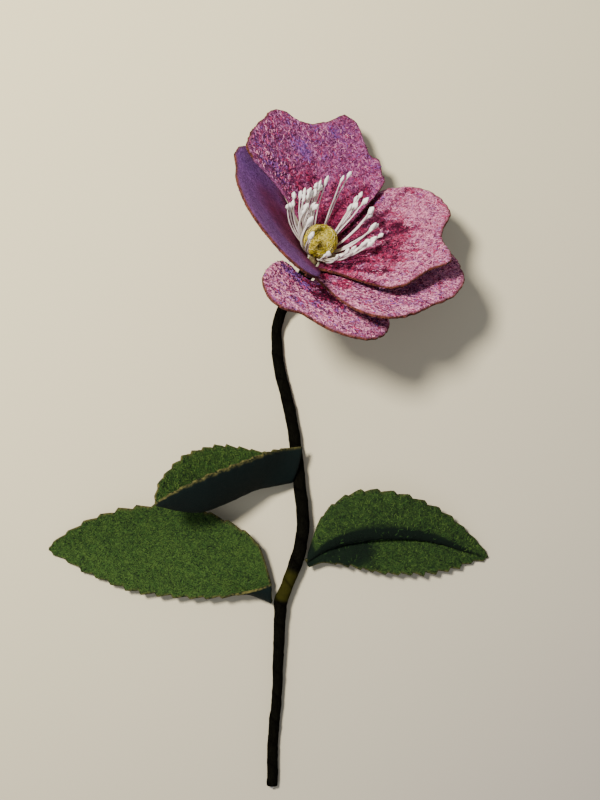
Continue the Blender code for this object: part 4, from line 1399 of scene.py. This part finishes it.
def make_stamens(settings):
    """Threads with dipped heads, and the thread that binds them."""
    draw = random.Random(STAMEN_SEED + 1)
    outline = np.array(HEAD_OUTLINE)
    angles = np.linspace(0, 2 * math.pi, THREAD_SIDES, endpoint=False)
    pile = Pile()
    dip = []
    root = []
    for azimuth, lean, reach, bend in stamen_places():
        head_length = settings.head_length / MM * draw.uniform(*HEAD_SIZES)
        head_radius = settings.head_radius / MM * draw.uniform(*HEAD_SIZES)
        share = head_length / math.hypot(reach * math.sin(lean) - STAMEN_ROOT_OUT,
                                         reach * math.cos(lean))
        thread = np.linspace(0, 1 - share, THREAD_STATIONS)[:-1]
        shares = np.concatenate([thread, 1 - share + share * outline[:, 0]])
        line = stamen_line(azimuth, lean, reach, bend, shares)
        wander = waves(line, THREAD_WAVE, draw.randrange(1000)) * THREAD_WANDER * shares
        swelling = 1 + THREAD_UNEVEN * np.sin(THREAD_SWELLS * thread * reach + azimuth)
        radii = np.concatenate([settings.thread_radius / MM * swelling,
                                np.maximum(outline[:, 1] * head_radius, HEAD_LEAST_RADIUS)])
        lump = draw.uniform(0, 2 * math.pi)
        in_head = (shares > 1 - share)[:, None]
        broad, fine = HEAD_LUMPS
        along_head = HEAD_TWIST * (shares[:, None] - 1) / share
        uneven = (broad * np.cos(2 * angles + lump)
                  + fine * np.cos(3 * angles + 2 * lump + along_head))
        rings = tube_points(line + wander[:, None], radii[:, None] * (1 + uneven * in_head),
                            THREAD_SIDES)
        pile.add(rings, ring_faces(len(shares), THREAD_SIDES))
        dipped = smooth_step(shares, *(1 - k * share for k in DIP_RANGE))
        dip.append(np.repeat(dipped, THREAD_SIDES))
        root.append(np.repeat(1 - smooth_step(shares, *STAIN_RANGE), THREAD_SIDES))
    turns = np.linspace(0, 1, BINDING_STATIONS)
    angle = turns * 2 * math.pi * BINDING_TURNS
    binding = np.stack([BINDING_OUT * np.cos(angle), BINDING_OUT * np.sin(angle),
                        BINDING_FROM + BINDING_RISE * turns], -1)
    rings = tube_points(binding, np.full((BINDING_STATIONS, 1), BINDING_RADIUS), THREAD_SIDES)
    pile.add(rings, ring_faces(BINDING_STATIONS, THREAD_SIDES))
    dip.append(np.zeros(len(rings)))
    root.append(np.ones(len(rings)))
    stamens = make_object("stamens_threads", bloom_to_frame(pile.stacked()), pile.faces,
                          [stamen_finish(settings)],
                          masks={"dip": np.concatenate(dip), "root": np.concatenate(root)})
    dress(stamens, "stamens")


class FELTROSE_OT_stamens(bpy.types.Operator):
    """Build the bunch of white stamens"""
    bl_idname = "felt_rose.stamens"
    bl_label = "Stamens"

    def execute(self, context):
        make_stamens(context.scene.rose_stamens)
        return {"FINISHED"}


# Stem

def tape_finish(settings):
    """Dark woven tape, with a painted highlight in olive along one stretch, and pale thread at its
    top.
    """
    tape = Finish("stem_tape")
    weave = tape.strands(0.45, 6.0)
    colour = tape.mix(weave * (0.5 + tape.noise(3.0) * 0.8), settings.shade, settings.tape)
    # Painted highlight in olive along one stretch of the stem
    colour = tape.mix(tape.mask("olive_highlight") * (0.5 + 0.5 * tape.noise(1.2)), colour, settings.olive_highlight)
    colour = tape.mix(tape.mask("lap") * 0.6, colour, settings.shade)
    colour = tape.mix(tape.mask("bound") * (0.4 + 0.6 * weave), colour, settings.binding)
    return tape.surface(Base_Color=colour, Roughness=0.92 - weave * 0.15,
                        Normal=tape.bump(weave + tape.noise(0.2, detail=1.0) * 0.4, 0.05),
                        Specular_IOR_Level=0.0)


def make_wrap(settings):
    """Fabric tape wound up the stem, each turn over the last, with its bore."""
    route = smooth_points(STEM_ROUTE, np.linspace(0, 1, WRAP_STATIONS))
    lengths = lengths_along(route[:, :3])
    even = np.linspace(0, lengths[-1], WRAP_STATIONS)
    route = points_at(route, lengths, even)
    line = route[:, :3] + np.array(FLOWER_SHIFT)
    angles = np.linspace(0, 2 * math.pi, WRAP_SIDES, endpoint=False)
    drift = TAPE_DRIFT * np.sin(even[:, None] / TAPE_DRIFT_WAVE)
    phase = even[:, None] / (settings.tape_pitch / MM) + angles / (2 * math.pi) + drift
    phase = phase % 1.0
    overlap = settings.tape_step / MM * (1 - smooth_step(phase, 0.0, TAPE_LAP))
    around = np.stack([np.cos(angles), np.sin(angles), angles * 0], -1) * TAPE_WAVE_RADIUS
    place = around + even[:, None, None] * np.array([0, 0, 1.0])
    rough = sum(height * waves(place, size, seed) for height, size, seed in TAPE_ROUGH)
    outer = tube_points(line, route[:, 3:] - TAPE_SINK + overlap + rough, WRAP_SIDES)
    middle = line[::BORE_EVERY]
    inner = tube_points(middle, np.full((len(middle), 1), WRAP_BORE), WRAP_SIDES)
    inner = inner.reshape(-1, WRAP_SIDES, 3)[::-1].reshape(-1, 3)
    faces = ring_faces(WRAP_STATIONS + len(middle), WRAP_SIDES, ends="joined")
    # Where the painted highlight lies along the stem, and how softly it starts and ends
    start, end = STEM_HIGHLIGHT_STRETCH
    before, past = STEM_HIGHLIGHT_SOFT
    along = route[:, 1]
    olive_highlight = smooth_step(along, start - before, start) * (1 - smooth_step(along, end, end + past))
    bound = 1 - smooth_step(even, *BOUND_FADE)
    masks = {
        "olive_highlight": np.repeat(olive_highlight, WRAP_SIDES),
        "bound": np.repeat(bound, WRAP_SIDES),
        "lap": smooth_step(abs(phase - 0.5).ravel(), *LAP_SHADE),
    }
    masks = {key: np.concatenate([value, np.zeros(len(inner))]) for key, value in masks.items()}
    wrap = make_object("stem_wrap_tape", np.vstack([outer, inner]), faces,
                       [tape_finish(settings)], masks=masks)
    dress(wrap, "stem_wrap")


def finish_wire():
    """Drawn steel on the wire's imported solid."""
    steel = Finish("wire_steel")
    drawn = steel.noise(0.2, detail=2.0)
    colour = steel.mix(drawn, *WIRE_COLOURS)
    finish = steel.surface(Base_Color=colour, Metallic=1.0, Roughness=0.32 + drawn * 0.2,
                           Normal=steel.bump(drawn, 0.02))
    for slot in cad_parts["stem_wire"].material_slots:
        slot.material = finish


class FELTROSE_OT_stem(bpy.types.Operator):
    """Build the stem's tape and finish its wire"""
    bl_idname = "felt_rose.stem"
    bl_label = "Stem"

    def execute(self, context):
        make_wrap(context.scene.rose_stem)
        finish_wire()
        return {"FINISHED"}


# Stage

def add_light(name, power, size, place, aim, colour):
    """A round soft light, with its place, width and aim in metres."""
    data = bpy.data.lights.new(name, "AREA")
    data.shape = "DISK"
    data.size = size
    data.energy = power
    data.color = colour
    light = bpy.data.objects.new(name, data)
    light.location = place
    light.rotation_euler = (Vector(aim) - Vector(place)).to_track_quat("-Z", "Y").to_euler()
    bpy.context.scene.collection.objects.link(light)


def make_stage(settings):
    """A pale floor, darkened towards its lower right with painted shade, soft light, mainly from
    the upper left, and the camera.
    """
    bpy.ops.mesh.primitive_plane_add(size=FLOOR_WIDTH, location=(0, 0, 0))
    floor = bpy.context.object
    floor.name = "floor"
    plaster = Finish("floor_plaster")
    cloud = plaster.noise(60.0, detail=3.0)
    colour = plaster.mix(cloud, tuple(0.97 * c for c in settings.floor), settings.floor)
    # Painted shade darkens the floor towards its lower right
    aside = plaster.node("ShaderNodeVectorMath", {"operation": "DOT_PRODUCT"},
                         {0: plaster.place, 1: FLOOR_SHADE_SLOPE}, "Value")
    colour = plaster.mix(plaster.clamp(aside + 0.5), colour, settings.floor_painted_shade)
    floor.data.materials.append(plaster.surface(
        Base_Color=colour, Roughness=0.9, Specular_IOR_Level=0.1,
        Normal=plaster.bump(plaster.noise(2.5, detail=3.0), 0.05, strength=0.3)))

    add_light("key", settings.key_power, settings.key_size, KEY_PLACE, KEY_AIM, KEY_COLOUR)
    add_light("fill", settings.fill_power, FILL_SIZE, FILL_PLACE, (0.0, 0.0, 0.0), FILL_COLOUR)
    world = bpy.data.worlds.new("studio")
    world.use_nodes = True
    background = world.node_tree.nodes["Background"]
    background.inputs["Color"].default_value = (*ROOM_COLOUR, 1.0)
    background.inputs["Strength"].default_value = settings.sky
    bpy.context.scene.world = world

    data = bpy.data.cameras.new("camera")
    data.lens = CAMERA_LENS
    data.clip_start = 0.01
    camera = bpy.data.objects.new("camera", data)
    camera.location = Vector(CAMERA_PLACE) * MM
    bpy.context.scene.collection.objects.link(camera)
    bpy.context.scene.camera = camera


class FELTROSE_OT_stage(bpy.types.Operator):
    """Build the floor, the lights and the camera"""
    bl_idname = "felt_rose.stage"
    bl_label = "Stage"

    def execute(self, context):
        make_stage(context.scene.rose_stage)
        return {"FINISHED"}


OPERATORS = (FELTROSE_OT_stage, FELTROSE_OT_petals, FELTROSE_OT_ball, FELTROSE_OT_stamens,
             FELTROSE_OT_stem, FELTROSE_OT_leaves)


class FELTROSE_PT_panel(bpy.types.Panel):
    """Builders of the felt rose"""
    bl_label = "Felt rose"
    bl_idname = "FELTROSE_PT_panel"
    bl_space_type = "VIEW_3D"
    bl_region_type = "UI"
    bl_category = "Felt rose"

    def draw(self, context):
        for operator in OPERATORS:
            self.layout.operator(operator.bl_idname)


CLASSES = (*SETTINGS.values(), *OPERATORS, FELTROSE_PT_panel)


def register():
    for item in CLASSES:
        bpy.utils.register_class(item)
    for name, group in SETTINGS.items():
        setattr(bpy.types.Scene, name, PointerProperty(type=group))


def unregister():
    for name in SETTINGS:
        delattr(bpy.types.Scene, name)
    for item in reversed(CLASSES):
        bpy.utils.unregister_class(item)


def main():
    register()
    for operator in OPERATORS:
        group, name = operator.bl_idname.split(".")
        getattr(getattr(bpy.ops, group), name)()


if __name__ == "__main__":
    main()
